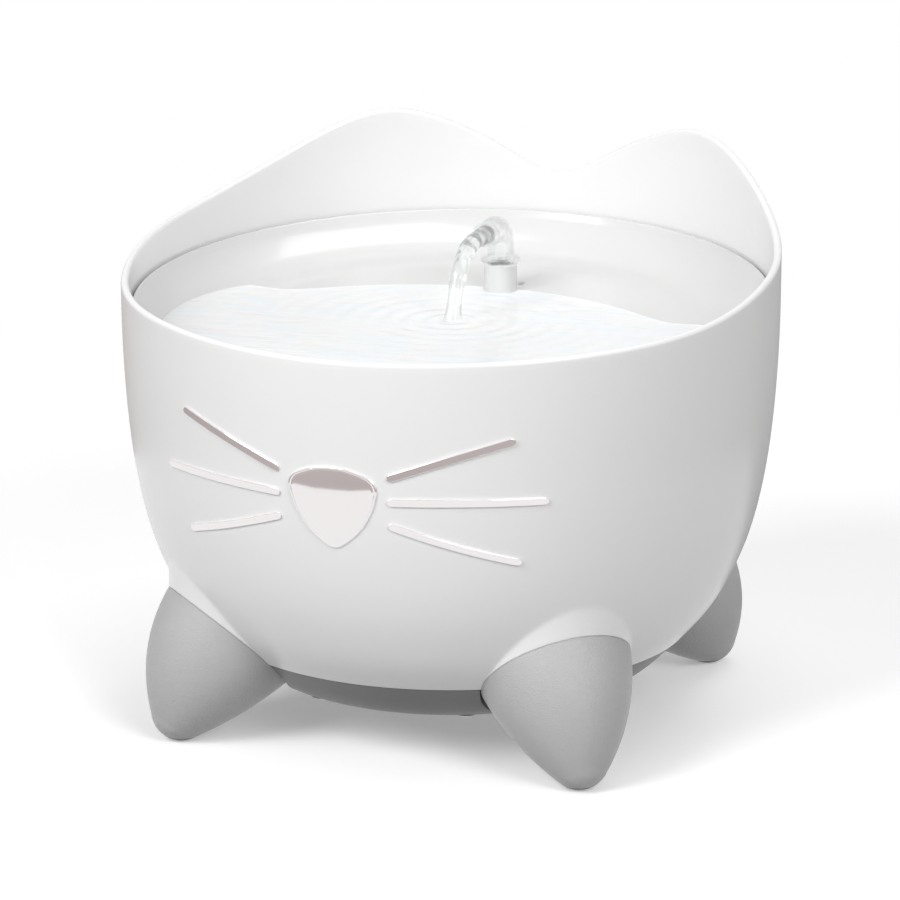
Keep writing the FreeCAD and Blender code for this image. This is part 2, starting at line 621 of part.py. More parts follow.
def filter_cartridge():
    """Open box with slots in its front and back for the water, and a rib across the front."""
    x = FILTER_X
    y0, y1 = FILTER_Y
    z0, z1 = FILTER_Z
    wall = FILTER_WALL
    body = box(-x, x, y0, y1, z0, z1)
    body = body.cut(box(-x + wall, x - wall, y0 + wall, y1 - wall, z0 + wall, z1 + 1))
    half = FILTER_SLOT / 2
    for index in range(FILTER_SLOTS):
        centre = (index - (FILTER_SLOTS - 1) / 2) * FILTER_PITCH
        body = body.cut(box(centre - half, centre + half, y0 - 1, y1 + 1, z0 + 4, z1 - 4))
    rib = box(-x, x, y0, y0 + 2, (z0 + z1) / 2 - 1, (z0 + z1) / 2 + 1)
    return body.fuse(rib).removeSplitter()


def filter_block(part):
    """Foam in front, carbon behind it, each filling its half of the cartridge."""
    wall = FILTER_WALL
    front = FILTER_Y[0] + wall
    back = FILTER_Y[1] - wall
    middle = (front + back) / 2
    low, high = (front, middle) if part == "foam" else (middle, back)
    return box(-FILTER_X + wall, FILTER_X - wall, low, high, FILTER_Z[0] + wall, FILTER_Z[1] - 1.5)


def filter_lid():
    """Snap lid with a pull tab."""
    y0, y1 = FILTER_Y
    low = FILTER_Z[1]
    x = FILTER_X
    wall = FILTER_WALL
    body = box(-x, x, y0, y1, low, low + 1.6)
    body = body.fuse(box(-x + wall, x - wall, y0 + wall, y1 - wall, low - 1.5, low + 0.5))
    middle = (y0 + y1) / 2
    tab = box(-8, 8, middle - 1, middle + 1, low + 1, low + TAB_HEIGHT)
    tab = tab.makeFillet(4.0, [e for e in tab.Edges if e.BoundBox.YLength > 1.9
                               and e.BoundBox.ZMin > low + TAB_HEIGHT - 0.1])
    for z in (3.5, 5.5, 7.5):
        tab = tab.fuse(box(-5, 5, middle - 1.4, middle + 1.4, low + z, low + z + 0.8))
    return body.fuse(tab).removeSplitter()


def control_board():
    """Board with a few low components, given as place, width, depth and height."""
    low, top = BOARD_Z
    body = box(-BOARD_X, BOARD_X, *BOARD_Y, low, top)
    for x, y, wide, deep, high in BOARD_CHIPS:
        body = body.fuse(box(x - wide / 2, x + wide / 2, y - deep / 2, y + deep / 2, top - 0.6, top + high))
    return body.removeSplitter()


def power_socket():
    """Flat oval inlet on the board's rear edge, with a tongue inside."""
    def oval(half_wide, half_high, y0, y1):
        block = box(-half_wide, half_wide, y0, y1, INLET_Z - half_high, INLET_Z + half_high)
        return block.makeFillet(half_high * 0.9, [e for e in block.Edges if e.BoundBox.YLength > 1])

    back, mouth = INLET_Y
    body = oval(*INLET_HALF, back, mouth)
    body = body.cut(oval(*INLET_MOUTH_HALF, back + 1, mouth + 1))
    tongue = box(-3.3, 3.3, back + 0.5, mouth - 0.8, INLET_Z - 0.3, INLET_Z + 0.3)
    return body.fuse(tongue).removeSplitter()


def power_coil():
    """Flat winding under the bowl's floor that drives the pump through it."""
    outer, inner = COIL_RADII
    return tube(0, COIL_Y, outer, inner, COIL_LOW, BOWL_BOTTOM)


def all_nodes():
    nodes = {"outer_shell": outer_shell(), "base_cover": base_cover()}
    nodes.update(face_trims())
    leg, pad = leg_and_pad()
    pads = []
    leg_screws = []
    for name, angle in LEG_ANGLES.items():
        nodes[name] = turned_to(leg, angle)
        pads.append(turned_to(pad, angle))
        leg_screws.append(turned_to(screw(LEG_SCREW_RADIUS, 20.0, 8.0), angle))
    cover_screws = [turned_to(screw(COVER_SCREW_RADIUS, 15.2, 11.8), a) for a in COVER_SCREW_ANGLES]
    nodes["foot_pads"] = Part.makeCompound(pads)
    nodes["leg_screws"] = Part.makeCompound(leg_screws)
    nodes["cover_screws"] = Part.makeCompound(cover_screws)
    nodes["control_board"] = control_board()
    nodes["power_socket"] = power_socket()
    nodes["power_coil"] = power_coil()
    nodes["pump_seat"] = pump_seat()
    nodes["suction_feet"] = suction_feet()
    nodes["pump_housing"] = pump_housing()
    nodes["pump_cover"] = pump_cover()
    nodes["impeller"] = impeller()
    nodes["impeller_shaft"] = along_y(SHAFT_RADIUS, *SHAFT_Y)
    nodes["riser_tube"] = riser_tube()
    nodes["filter_cartridge"] = filter_cartridge()
    nodes["filter_foam"] = filter_block("foam")
    nodes["filter_carbon"] = filter_block("carbon")
    nodes["filter_lid"] = filter_lid()
    nodes["drinking_dish"] = drinking_dish()
    nodes["spout_seal"] = spout_seal()
    nodes["spout"] = spout()
    return nodes


def main():
    os.makedirs("parts", exist_ok=True)
    for name, shape in all_nodes().items():
        shape.exportStep("parts/%s.step" % name)
        box_size = shape.BoundBox
        print("%-22s solids %d valid %s volume %.0f  z %.1f..%.1f" % (
            name, len(shape.Solids), shape.isValid(), shape.Volume, box_size.ZMin, box_size.ZMax))


main()
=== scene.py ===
"""Looks of a pet water fountain with cat ears, whiskers and a clear spout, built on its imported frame."""

import json
import math

import bmesh
import bpy
import numpy as np
from bpy.props import FloatProperty, FloatVectorProperty, IntProperty, PointerProperty
from bpy.types import Operator, Panel, PropertyGroup
from mathutils import Matrix, Vector


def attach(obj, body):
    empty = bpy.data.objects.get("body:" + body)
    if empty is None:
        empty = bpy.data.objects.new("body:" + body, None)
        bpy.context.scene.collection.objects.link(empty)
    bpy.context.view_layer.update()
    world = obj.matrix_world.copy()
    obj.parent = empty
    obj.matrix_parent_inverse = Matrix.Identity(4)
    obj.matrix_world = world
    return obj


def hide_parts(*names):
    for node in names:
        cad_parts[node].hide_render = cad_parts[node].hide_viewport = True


bl_info = {
    "name": "Cat-ear water fountain",
    "version": (1, 0, 0),
    "blender": (4, 5, 0),
    "location": "View3D > Sidebar > Fountain",
    "description": "Builds the finished surfaces of a pet water fountain on its construction frame",
    "category": "Object",
}

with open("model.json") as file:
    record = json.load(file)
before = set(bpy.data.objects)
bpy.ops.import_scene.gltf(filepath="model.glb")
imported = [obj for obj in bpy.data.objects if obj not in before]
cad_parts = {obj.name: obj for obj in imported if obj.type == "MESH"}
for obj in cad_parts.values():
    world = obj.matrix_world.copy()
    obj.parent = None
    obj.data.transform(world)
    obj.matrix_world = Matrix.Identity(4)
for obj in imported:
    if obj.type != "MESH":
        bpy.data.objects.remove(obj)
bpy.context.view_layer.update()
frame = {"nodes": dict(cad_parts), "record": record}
NODES = frame["nodes"]
MM = 0.001

# Bowl, as in the construction: outer profile (radius, height) and rim height over the angle from the back
BOWL = [(85.0, 31.5), (92.4, 40.0), (98.6, 50.0), (103.3, 60.0), (109.2, 80.0),
        (112.4, 100.0), (114.1, 120.0), (115.0, 150.0)]
BOWL_RADIUS = 115.0
BOWL_BOTTOM = 31.5
BOWL_FLOOR = 34.5
FLOOR_CORNER = 3
SHOULDER_BLEND = 0.12
RIM = [(0, 170.0), (10, 178.0), (20, 187.6), (31, 192.8), (40, 189.8), (50, 182.0),
       (60, 174.5), (75, 166.8), (90, 162.5), (110, 157.0), (140, 154.0), (180, 152.5)]
LEG_ANGLES = {"leg_front_right": -45, "leg_rear_right": 45, "leg_rear_left": 135, "leg_front_left": 225}
LEG_TOP = (85.0, 36.0)
LEG_TOP_RADIUS = 26.6
LEG_TOP_TILT = math.radians(42)
LEG_TIP = (103.5, 10.15)
LEG_BALL_RADIUS = 10.45
LEG_BULGE = 2.64
LEG_LEAN = 2.1
LEG_SINK = 0.4
PAD_HEIGHT = 2.0

# Dish, in its own leaning frame, with the pedestal and the spout on one upright axis
DISH_HEIGHT = 149.7
DISH_SLOPE = 0.05
DISH_TOP = [(0, -14.5), (50, -13.54), (82, -11.91), (97, -10.88), (104.5, -6.6), (109.8, -0.8)]
DISH_UNDER = [(0, -16.9), (50, -15.94), (82, -14.31), (97, -13.28), (105.6, -9.2), (108.5, -4.5)]
DISH_ENDS = ((1, 0), (0.5, 0.86))
DISH_RADIUS = 111.4
DISH_LIP = 0.8
DRAIN_ANGLES = (-28, 0, 28)
DRAIN_DISTANCE = 9
DRAIN_RADIUS = 1.75
LEDGE = [(113.4, -4.9), (109.5, -4.9), (113.4, -9.9)]
SPOUT_Y = 51.5
PEDESTAL_RADIUS = 6.0
PEDESTAL_BORE = 4.7
PEDESTAL_TOP = 148.9
PEDESTAL_BOTTOM = 118.0
SPOUT_AXIS = 162.5
SPOUT_BEND = 8.0
SPOUT_END = 36.0
SPOUT_WALL = 1.6
FLANGE = (PEDESTAL_TOP + 0.1, PEDESTAL_TOP + 1.9)
FLANGE_RADIUS = 7.35
STUB_RADIUS = 3.45
STUB_BORE = 2.55
STUB_BOTTOM = 136.2
WATER_LEVEL = 139.0
STREAM = [(36.6, 162.4), (28.0, 162.9), (20.3, 162.3), (13.5, 159.7),
          (8.9, 155.6), (5.6, 150.0), (3.4, 144.5), (1.8, 138.6)]
STREAM_RADIUS = 3.2
SPLASH_Y = 1.5
RING_LENGTH = 7.5
RING_FADE = 26
SHORE = 6

# Face
NOSE = [(0.0, 116.4), (12.2, 113.6), (15.0, 111.3), (15.3, 107.0), (11.6, 97.6), (3.2, 89.0), (0.0, 87.7)]
WHISKERS = {"upper": [(20.3, 113.8), (38.8, 120.3), (57.6, 126.3)],
            "middle": [(20.3, 105.2), (43.0, 105.5), (66.4, 105.2)],
            "lower": [(20.3, 96.6), (38.0, 90.5), (57.8, 84.0)]}
NOSE_CENTRE = (0.0, 104.0)
# Cross-section of a whisker: side as a share of half its width, height as a share of the trim's, but
# millimetres where it lies under the bowl's skin
WHISKER_SECTION = [(-1.0, -0.3), (-1.0, 0.65), (-0.96, 0.9), (-0.88, 1.0), (-0.85, 1.0),
                   (0.85, 1.0), (0.88, 1.0), (0.96, 0.9), (1.0, 0.65), (1.0, -0.3)]

# Camera of the photograph, in metres and degrees
CAMERA_TARGET = (0.0, 0.0, 0.09231)
CAMERA_DISTANCE = 1.6
CAMERA_ELEVATION = 15.54
CAMERA_AZIMUTH = 20.3
CAMERA_LENS = 181.4
CAMERA_SHIFT_X = -1 / 900

# Studio: tones of the floor for the camera and for the light it throws back, the distances in metres over
# which it turns white, the light of the room, and lamps as (name, place, target, size, watts)
FLOOR_TONE = 0.80
FLOOR_GLOW = 0.30
FLOOR_BOUNCE = 0.43
FLOOR_FADE = (0.22, 0.62)
ROOM_LIGHT = 0.17
LAMPS = [("Left front softbox", (-1.0, -1.75, 1.5), (0, 0, 0.1), 1.2, 43.5),
         ("Right front softbox", (1.6, -1.3, 1.4), (0, 0, 0.08), 1.0, 27.0),
         ("Overhead softbox", (0.2, 0.25, 1.6), (0, 0, 0.1), 1.0, 7.0)]
REAR_LAMP = ("Low rear softbox", (0.3, 1.9, 0.45), (0, 0, 0.09), 0.6, 11.0)
# Cards that only reflections show: name, radii and angles of the ring, height, colour
CARDS = [("dark_surround", (345, 2500), (0, 360), 0.5, (0.40, 0.36, 0.35)),
         ("dark_side", (150, 2600), (52, 130), 1.0, (0.27, 0.26, 0.26))]


class FountainSizes(PropertyGroup):
    wall: FloatProperty(name="Wall", description="Thickness of the bowl's wall",
                        default=2.8 * MM, min=0.001, unit="LENGTH")
    whisker_width: FloatProperty(name="Whisker width", description="Width of each whisker",
                                 default=2.6 * MM, min=0.0005, unit="LENGTH")
    trim_proud: FloatProperty(name="Trim height", description="How far nose and whiskers stand out",
                              default=0.7 * MM, min=0.0001, unit="LENGTH")
    tube_radius: FloatProperty(name="Spout radius", description="Outer radius of the clear spout",
                               default=4.9 * MM, min=0.002, unit="LENGTH")
    ripple_height: FloatProperty(name="Ripple height", description="Height of the rings round the stream",
                                 default=0.22 * MM, min=0.0, unit="LENGTH")
    columns: IntProperty(name="Columns", description="Steps round the bowl", default=720, min=120)


class FountainColours(PropertyGroup):
    shell: FloatVectorProperty(name="Shell", description="Moulded white of the bowl", subtype="COLOR",
                               default=(0.82, 0.82, 0.818), min=0, max=1)
    dish: FloatVectorProperty(name="Dish", description="White of the drinking dish", subtype="COLOR",
                              default=(0.65, 0.65, 0.648), min=0, max=1)
    legs: FloatVectorProperty(name="Legs", description="Mid grey of the legs", subtype="COLOR",
                              default=(0.46, 0.46, 0.46), min=0, max=1)
    base: FloatVectorProperty(name="Base", description="Dark grey of the base band", subtype="COLOR",
                              default=(0.15, 0.151, 0.153), min=0, max=1)
    trim: FloatVectorProperty(name="Trim", description="Plated nose and whiskers", subtype="COLOR",
                              default=(0.87, 0.84, 0.845), min=0, max=1)
    # Water: the bluish colour of the pool's bands, a painted reflection of the ripples' glints; the water
    # itself is clear
    water: FloatVectorProperty(name="Water", description="Tint of the water", subtype="COLOR",
                               default=(0.90, 0.95, 0.98), min=0, max=1)


def cubic(knots, values, periodic=False, slopes=None):
    """Smooth curve through values at rising knots: periodic, or with given or natural end slopes."""
    knots = np.asarray(knots, float)
    values = np.asarray(values, float)
    steps = np.diff(knots)
    rises = np.diff(values) / steps
    count = len(knots) - 1 if periodic else len(knots)
    system = np.zeros((count, count))
    right = np.zeros(count)
    for i in range(count):
        if not periodic and i in (0, count - 1):
            system[i, i] = 2 if slopes is None else 1
            if slopes is None:
                system[i, 1 if i == 0 else i - 1] = 1
                right[i] = 3 * rises[0 if i == 0 else -1]
            else:
                right[i] = slopes[0 if i == 0 else 1]
            continue
        before, after = steps[i - 1], steps[i]
        system[i, (i - 1) % count] += after
        system[i, i] += 2 * (before + after)
        system[i, (i + 1) % count] += before
        right[i] = 3 * (after * rises[i - 1] + before * rises[i])
    tangents = np.linalg.solve(system, right)
    if periodic:
        tangents = np.append(tangents, tangents[0])

    def at(t):
        t = np.asarray(t, float)
        if periodic:
            t = (t - knots[0]) % (knots[-1] - knots[0]) + knots[0]
        i = np.clip(np.searchsorted(knots, t, side="right") - 1, 0, len(steps) - 1)
        h = steps[i]
        u = (t - knots[i]) / h
        return ((1 + 2 * u) * (1 - u) ** 2 * values[i] + u * (1 - u) ** 2 * h * tangents[i]
                + u * u * (3 - 2 * u) * values[i + 1] + u * u * (u - 1) * h * tangents[i + 1])
    return at


def curve_points(points, count, first=None, last=None):
    """Dense (radius, height) points on a smooth curve, with optional end directions."""
    points = np.asarray(points, float)
    knots = np.append(0, np.cumsum(np.linalg.norm(np.diff(points, axis=0), axis=1)))
    t = np.linspace(0, knots[-1], count)
    columns = []
    for axis in range(points.shape[1]):
        slopes = None
        if first is not None and last is not None:
            slopes = (first[axis], last[axis])
        columns.append(cubic(knots, points[:, axis], slopes=slopes)(t))
    return np.stack(columns, axis=1)


def unit(vector):
    """The vector at length 1."""
    vector = np.asarray(vector, float)
    return vector / np.linalg.norm(vector)


BOWL_CURVE = curve_points(BOWL, 600, unit(np.subtract(BOWL[1], BOWL[0])), (0, 1))
RIM_ANGLES = [a for a, _ in RIM] + [360 - a for a, _ in reversed(RIM[:-1])]
RIM_HEIGHTS = [z for _, z in RIM] + [z for _, z in reversed(RIM[:-1])]
rim_height = cubic(RIM_ANGLES, RIM_HEIGHTS, periodic=True)


def bowl_radius(height):
    """Outer radius of the bowl at a height, in millimetres."""
    return np.interp(height, BOWL_CURVE[:, 1], BOWL_CURVE[:, 0])


def inner_curve(wall):
    """The bowl's profile moved inwards by its wall."""
    slope = np.gradient(BOWL_CURVE, axis=0)
    slope /= np.linalg.norm(slope, axis=1)[:, None]
    return BOWL_CURVE + wall * np.stack([-slope[:, 1], slope[:, 0]], axis=1)


def new_object(name, points, faces, smooth=True):
    """Mesh object from points in millimetres; doubled points and empty faces are removed."""
    mesh = bpy.data.meshes.new(name)
    mesh.from_pydata([tuple(p * MM) for p in np.asarray(points, float)], [], faces)
    shape = bmesh.new()
    shape.from_mesh(mesh)
    bmesh.ops.remove_doubles(shape, verts=shape.verts, dist=1e-6)
    bmesh.ops.dissolve_degenerate(shape, edges=shape.edges, dist=1e-7)
    bmesh.ops.recalc_face_normals(shape, faces=shape.faces)
    shape.to_mesh(mesh)
    shape.free()
    for polygon in mesh.polygons:
        polygon.use_smooth = smooth
    made = bpy.data.objects.new(name, mesh)
    bpy.context.scene.collection.objects.link(made)
    return made


def grid(rows, columns, wrap_rows=False, wrap_columns=True, start=0):
    """Quads of a grid of points kept row by row."""
    faces = []
    for r in range(rows if wrap_rows else rows - 1):
        low, high = r * columns, (r + 1) % rows * columns
        for c in range(columns if wrap_columns else columns - 1):
            d = (c + 1) % columns
            faces.append((start + low + c, start + low + d, start + high + d, start + high + c))
    return faces


def turned(profile, segments, matrix=None, x=0.0, y=0.0, closed=True):
    """Points and quads of a closed (radius, height) profile turned about an upright axis."""
    angles = np.arange(segments) * 2 * math.pi / segments
    points = np.array([[r * math.cos(a) + x, r * math.sin(a) + y, z] for r, z in profile for a in angles])
    if matrix is not None:
        points = np.array([list(matrix @ Vector(p)) for p in points])
    return points, grid(len(profile), segments, wrap_rows=closed)


def joined(parts):
    """Several (points, faces) pairs as one."""
    points, faces, start = [], [], 0
    for some, quads in parts:
        points.append(some)
        faces += [tuple(i + start for i in quad) for quad in quads]
        start += len(some)
    return np.concatenate(points), faces


def swept(path, radii, sides):
    """Points and quads of an open tube round a path of (y, z) points."""
    centres = np.array([(0.0, y, z) for y, z in path])
    across = np.array([1.0, 0.0, 0.0])
    rows = []
    for i, centre in enumerate(centres):
        ahead = unit(centres[min(i + 1, len(centres) - 1)] - centres[max(i - 1, 0)])
        up = np.cross(ahead, across)
        for k in range(sides):
            a = 2 * math.pi * k / sides
            rows.append(centre + radii[i] * (math.cos(a) * across + math.sin(a) * up))
    return np.array(rows), grid(len(centres), sides)


def round_arc(centre, radius, start, stop, count):
    """Points of an arc, angles in degrees, as (radius, height)."""
    return [(centre[0] + radius * math.cos(math.radians(a)), centre[1] + radius * math.sin(math.radians(a)))
            for a in np.linspace(start, stop, count)]


def finish_piece(made, body, slot, material, *replaced):
    """Material, body and the construction nodes that a piece stands for; the slot is not used."""
    made.data.materials.clear()
    made.data.materials.append(material)
    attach(made, body)
    if replaced:
        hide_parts(*replaced)
    return made


def apply_modifiers(made):
    """Keep the modified mesh and drop the modifiers."""
    shown = made.evaluated_get(bpy.context.evaluated_depsgraph_get())
    mesh = bpy.data.meshes.new_from_object(shown)
    made.modifiers.clear()
    made.data = mesh


def crease(made, degrees):
    """Smooth shading that stays sharp at edges over an angle."""
    limit = math.radians(degrees)
    shape = bmesh.new()
    shape.from_mesh(made.data)
    for edge in shape.edges:
        edge.smooth = len(edge.link_faces) == 2 and edge.calc_face_angle(0.0) < limit
    for face in shape.faces:
        face.smooth = True
    shape.to_mesh(made.data)
    shape.free()


def feed(links, value, socket):
    """Link another node's output to a socket, or set a plain value on it."""
    if isinstance(value, bpy.types.NodeSocket):
        links.new(value, socket)
    else:
        socket.default_value = value


def calculated(nodes, links, operation, *values):
    """Result of a math node over outputs and plain numbers."""
    node = nodes.new("ShaderNodeMath")
    node.operation = operation
    for value, socket in zip(values, node.inputs):
        feed(links, value, socket)
    return node.outputs[0]


def noise(nodes, links, scale, detail=2.0, vector=None):
    """Noise node in the piece's own space, or on a given vector."""
    if vector is None:
        vector = nodes.new("ShaderNodeTexCoord").outputs["Object"]
    node = nodes.new("ShaderNodeTexNoise")
    links.new(vector, node.inputs["Vector"])
    feed(links, scale, node.inputs["Scale"])
    feed(links, detail, node.inputs["Detail"])
    return node


def bumped(nodes, links, height, strength, distance, shader):
    """Bump from a height into a shader's normal."""
    node = nodes.new("ShaderNodeBump")
    node.inputs["Strength"].default_value = strength
    node.inputs["Distance"].default_value = distance
    links.new(height, node.inputs["Height"])
    links.new(node.outputs["Normal"], shader.inputs["Normal"])


def node_group(name, inputs, outputs):
    """Empty shader group with its sockets, its nodes and its two ends."""
    group = bpy.data.node_groups.new(name, "ShaderNodeTree")
    for label, kind, value in inputs:
        socket = group.interface.new_socket(name=label, in_out="INPUT", socket_type=kind)
        if value is not None:
            socket.default_value = value
    for label, kind in outputs:
        group.interface.new_socket(name=label, in_out="OUTPUT", socket_type=kind)
    return group, group.nodes.new("NodeGroupInput"), group.nodes.new("NodeGroupOutput")


def fine_grain():
    """Spark-eroded grain of matt mouldings: a height for bump and a roughness that varies."""
    if "Fine grain" in bpy.data.node_groups:
        return bpy.data.node_groups["Fine grain"]
    group, start, end = node_group(
        "Fine grain",
        [("Scale", "NodeSocketFloat", 2200.0), ("Roughness", "NodeSocketFloat", 0.5),
         ("Spread", "NodeSocketFloat", 0.1)],
        [("Height", "NodeSocketFloat"), ("Roughness", "NodeSocketFloat")])
    nodes, links = group.nodes, group.links
    grain = noise(nodes, links, start.outputs["Scale"], 3.0)
    broad = noise(nodes, links, 45.0)
    shift = calculated(nodes, links, "SUBTRACT", broad.outputs["Fac"], 0.5)
    rough = calculated(nodes, links, "MULTIPLY_ADD", shift, start.outputs["Spread"],
                       start.outputs["Roughness"])
    links.new(grain.outputs["Fac"], end.inputs["Height"])
    links.new(rough, end.inputs["Roughness"])
    return group


def moulded_tone():
    """Slow drift in the tone of a moulding, between a colour and a slightly darker one."""
    if "Moulded tone" in bpy.data.node_groups:
        return bpy.data.node_groups["Moulded tone"]
    group, start, end = node_group(
        "Moulded tone",
        [("Colour", "NodeSocketColor", (0.8, 0.8, 0.8, 1)), ("Depth", "NodeSocketFloat", 0.03),
         ("Scale", "NodeSocketFloat", 9.0)],
        [("Colour", "NodeSocketColor")])
    nodes, links = group.nodes, group.links
    drift = noise(nodes, links, start.outputs["Scale"])
    amount = calculated(nodes, links, "MULTIPLY", drift.outputs["Fac"], start.outputs["Depth"])
    mix = nodes.new("ShaderNodeMix")
    mix.data_type = "RGBA"
    mix.blend_type = "MULTIPLY"
    mix.inputs["B"].default_value = (0.0, 0.0, 0.0, 1)
    links.new(amount, mix.inputs["Factor"])
    links.new(start.outputs["Colour"], mix.inputs["A"])
    links.new(mix.outputs["Result"], end.inputs["Colour"])
    return group


def plain_material(name):
    """New material with its nodes and links."""
    material = bpy.data.materials.new(name)
    material.use_nodes = True
    return material, material.node_tree.nodes, material.node_tree.links


def moulding(name, colour, rough=0.5, grain=2200.0, bump=0.2, depth=0.04, coat=0.0, spread=0.1,
             metallic=0.0, specular=0.5, tone_scale=9.0, relief=0.0001):
    """Plastic, rubber or plain metal: toned colour, grain in bump and a roughness that varies."""
    material, nodes, links = plain_material(name)
    shader = nodes["Principled BSDF"]
    shader.inputs["Metallic"].default_value = metallic
    shader.inputs["Coat Weight"].default_value = coat
    shader.inputs["Coat Roughness"].default_value = 0.06
    shader.inputs["Specular IOR Level"].default_value = specular
    tone = nodes.new("ShaderNodeGroup")
    tone.node_tree = moulded_tone()
    tone.inputs["Colour"].default_value = (*colour, 1)
    tone.inputs["Depth"].default_value = depth
    tone.inputs["Scale"].default_value = tone_scale
    links.new(tone.outputs["Colour"], shader.inputs["Base Color"])
    texture = nodes.new("ShaderNodeGroup")
    texture.node_tree = fine_grain()
    texture.inputs["Scale"].default_value = grain
    texture.inputs["Roughness"].default_value = rough
    texture.inputs["Spread"].default_value = spread
    links.new(texture.outputs["Roughness"], shader.inputs["Roughness"])
    bumped(nodes, links, texture.outputs["Height"], bump, relief, shader)
    return material


def clear_material(name, colour, ior, rough, scale, bump, alpha):
    """Clear plastic or water with a faint wave in its surface."""
    material, nodes, links = plain_material(name)
    shader = nodes["Principled BSDF"]
    shader.inputs["Base Color"].default_value = (*colour, 1)
    shader.inputs["Transmission Weight"].default_value = 1.0
    shader.inputs["IOR"].default_value = ior
    shader.inputs["Roughness"].default_value = rough
    shader.inputs["Alpha"].default_value = alpha
    bumped(nodes, links, noise(nodes, links, scale).outputs["Fac"], bump, 0.0004, shader)
    return material


def pool_material(colour):
    """Shallow water over white: thin and glossy, with bluish bands between the rings; their colour is a
    painted reflection of the ripples' glints, and the same bands shape the bump and the cover.
    """
    material, nodes, links = plain_material("Pool water")
    shader = nodes["Principled BSDF"]
    shader.inputs["Roughness"].default_value = 0.03
    shader.inputs["IOR"].default_value = 1.33
    shader.inputs["Specular IOR Level"].default_value = 0.5
    place = nodes.new("ShaderNodeTexCoord")
    stretch = nodes.new("ShaderNodeMapping")
    stretch.inputs["Scale"].default_value = (1.0, 2.4, 1.0)
    links.new(place.outputs["Object"], stretch.inputs["Vector"])
    bands = noise(nodes, links, 48.0, 3.0, stretch.outputs["Vector"])
    bands.inputs["Distortion"].default_value = 0.8
    # Painted reflection: where the bands rise, the colour turns from white to the bluish tint, standing in
    # for the ripples' glints
    painted_glint_colour = nodes.new("ShaderNodeValToRGB")
    painted_glint_colour.color_ramp.elements[0].position = 0.44
    painted_glint_colour.color_ramp.elements[0].color = (1.0, 1.0, 1.0, 1)
    painted_glint_colour.color_ramp.elements[1].position = 0.66
    painted_glint_colour.color_ramp.elements[1].color = (*colour, 1)
    links.new(bands.outputs["Fac"], painted_glint_colour.inputs["Fac"])
    links.new(painted_glint_colour.outputs["Color"], shader.inputs["Base Color"])
    cover = nodes.new("ShaderNodeMapRange")
    cover.inputs["To Min"].default_value = 0.75
    cover.inputs["To Max"].default_value = 0.95
    links.new(bands.outputs["Fac"], cover.inputs["Value"])
    links.new(cover.outputs["Result"], shader.inputs["Alpha"])
    bumped(nodes, links, bands.outputs["Fac"], 0.35, 0.0008, shader)
    return material


def shoulder_radius(angle):
    """Radius at which a ray at an angle from a leg leaves the leg's upright prism, in millimetres."""
    wide = LEG_TOP_RADIUS
    deep = LEG_TOP_RADIUS * math.cos(LEG_TOP_TILT)
    c, s = np.cos(angle), np.sin(angle)
    a = (c / deep) ** 2 + (s / wide) ** 2
    b = -2 * LEG_TOP[0] * c / deep ** 2
    left = b * b - 4 * a * ((LEG_TOP[0] / deep) ** 2 - 1)
    leaves = (-b + np.sqrt(np.maximum(left, 0))) / (2 * a)
    edge = math.asin(wide / math.hypot(LEG_TOP[0], wide)) + 0.02
    fall = np.maximum(np.abs(angle) - edge, 0) * 180
    return np.where(left > 0, leaves, -b / (2 * a) - fall), left > 0


def wrapped(angle):
    """The same angle between minus and plus half a turn."""
    return (angle + math.pi) % (2 * math.pi) - math.pi


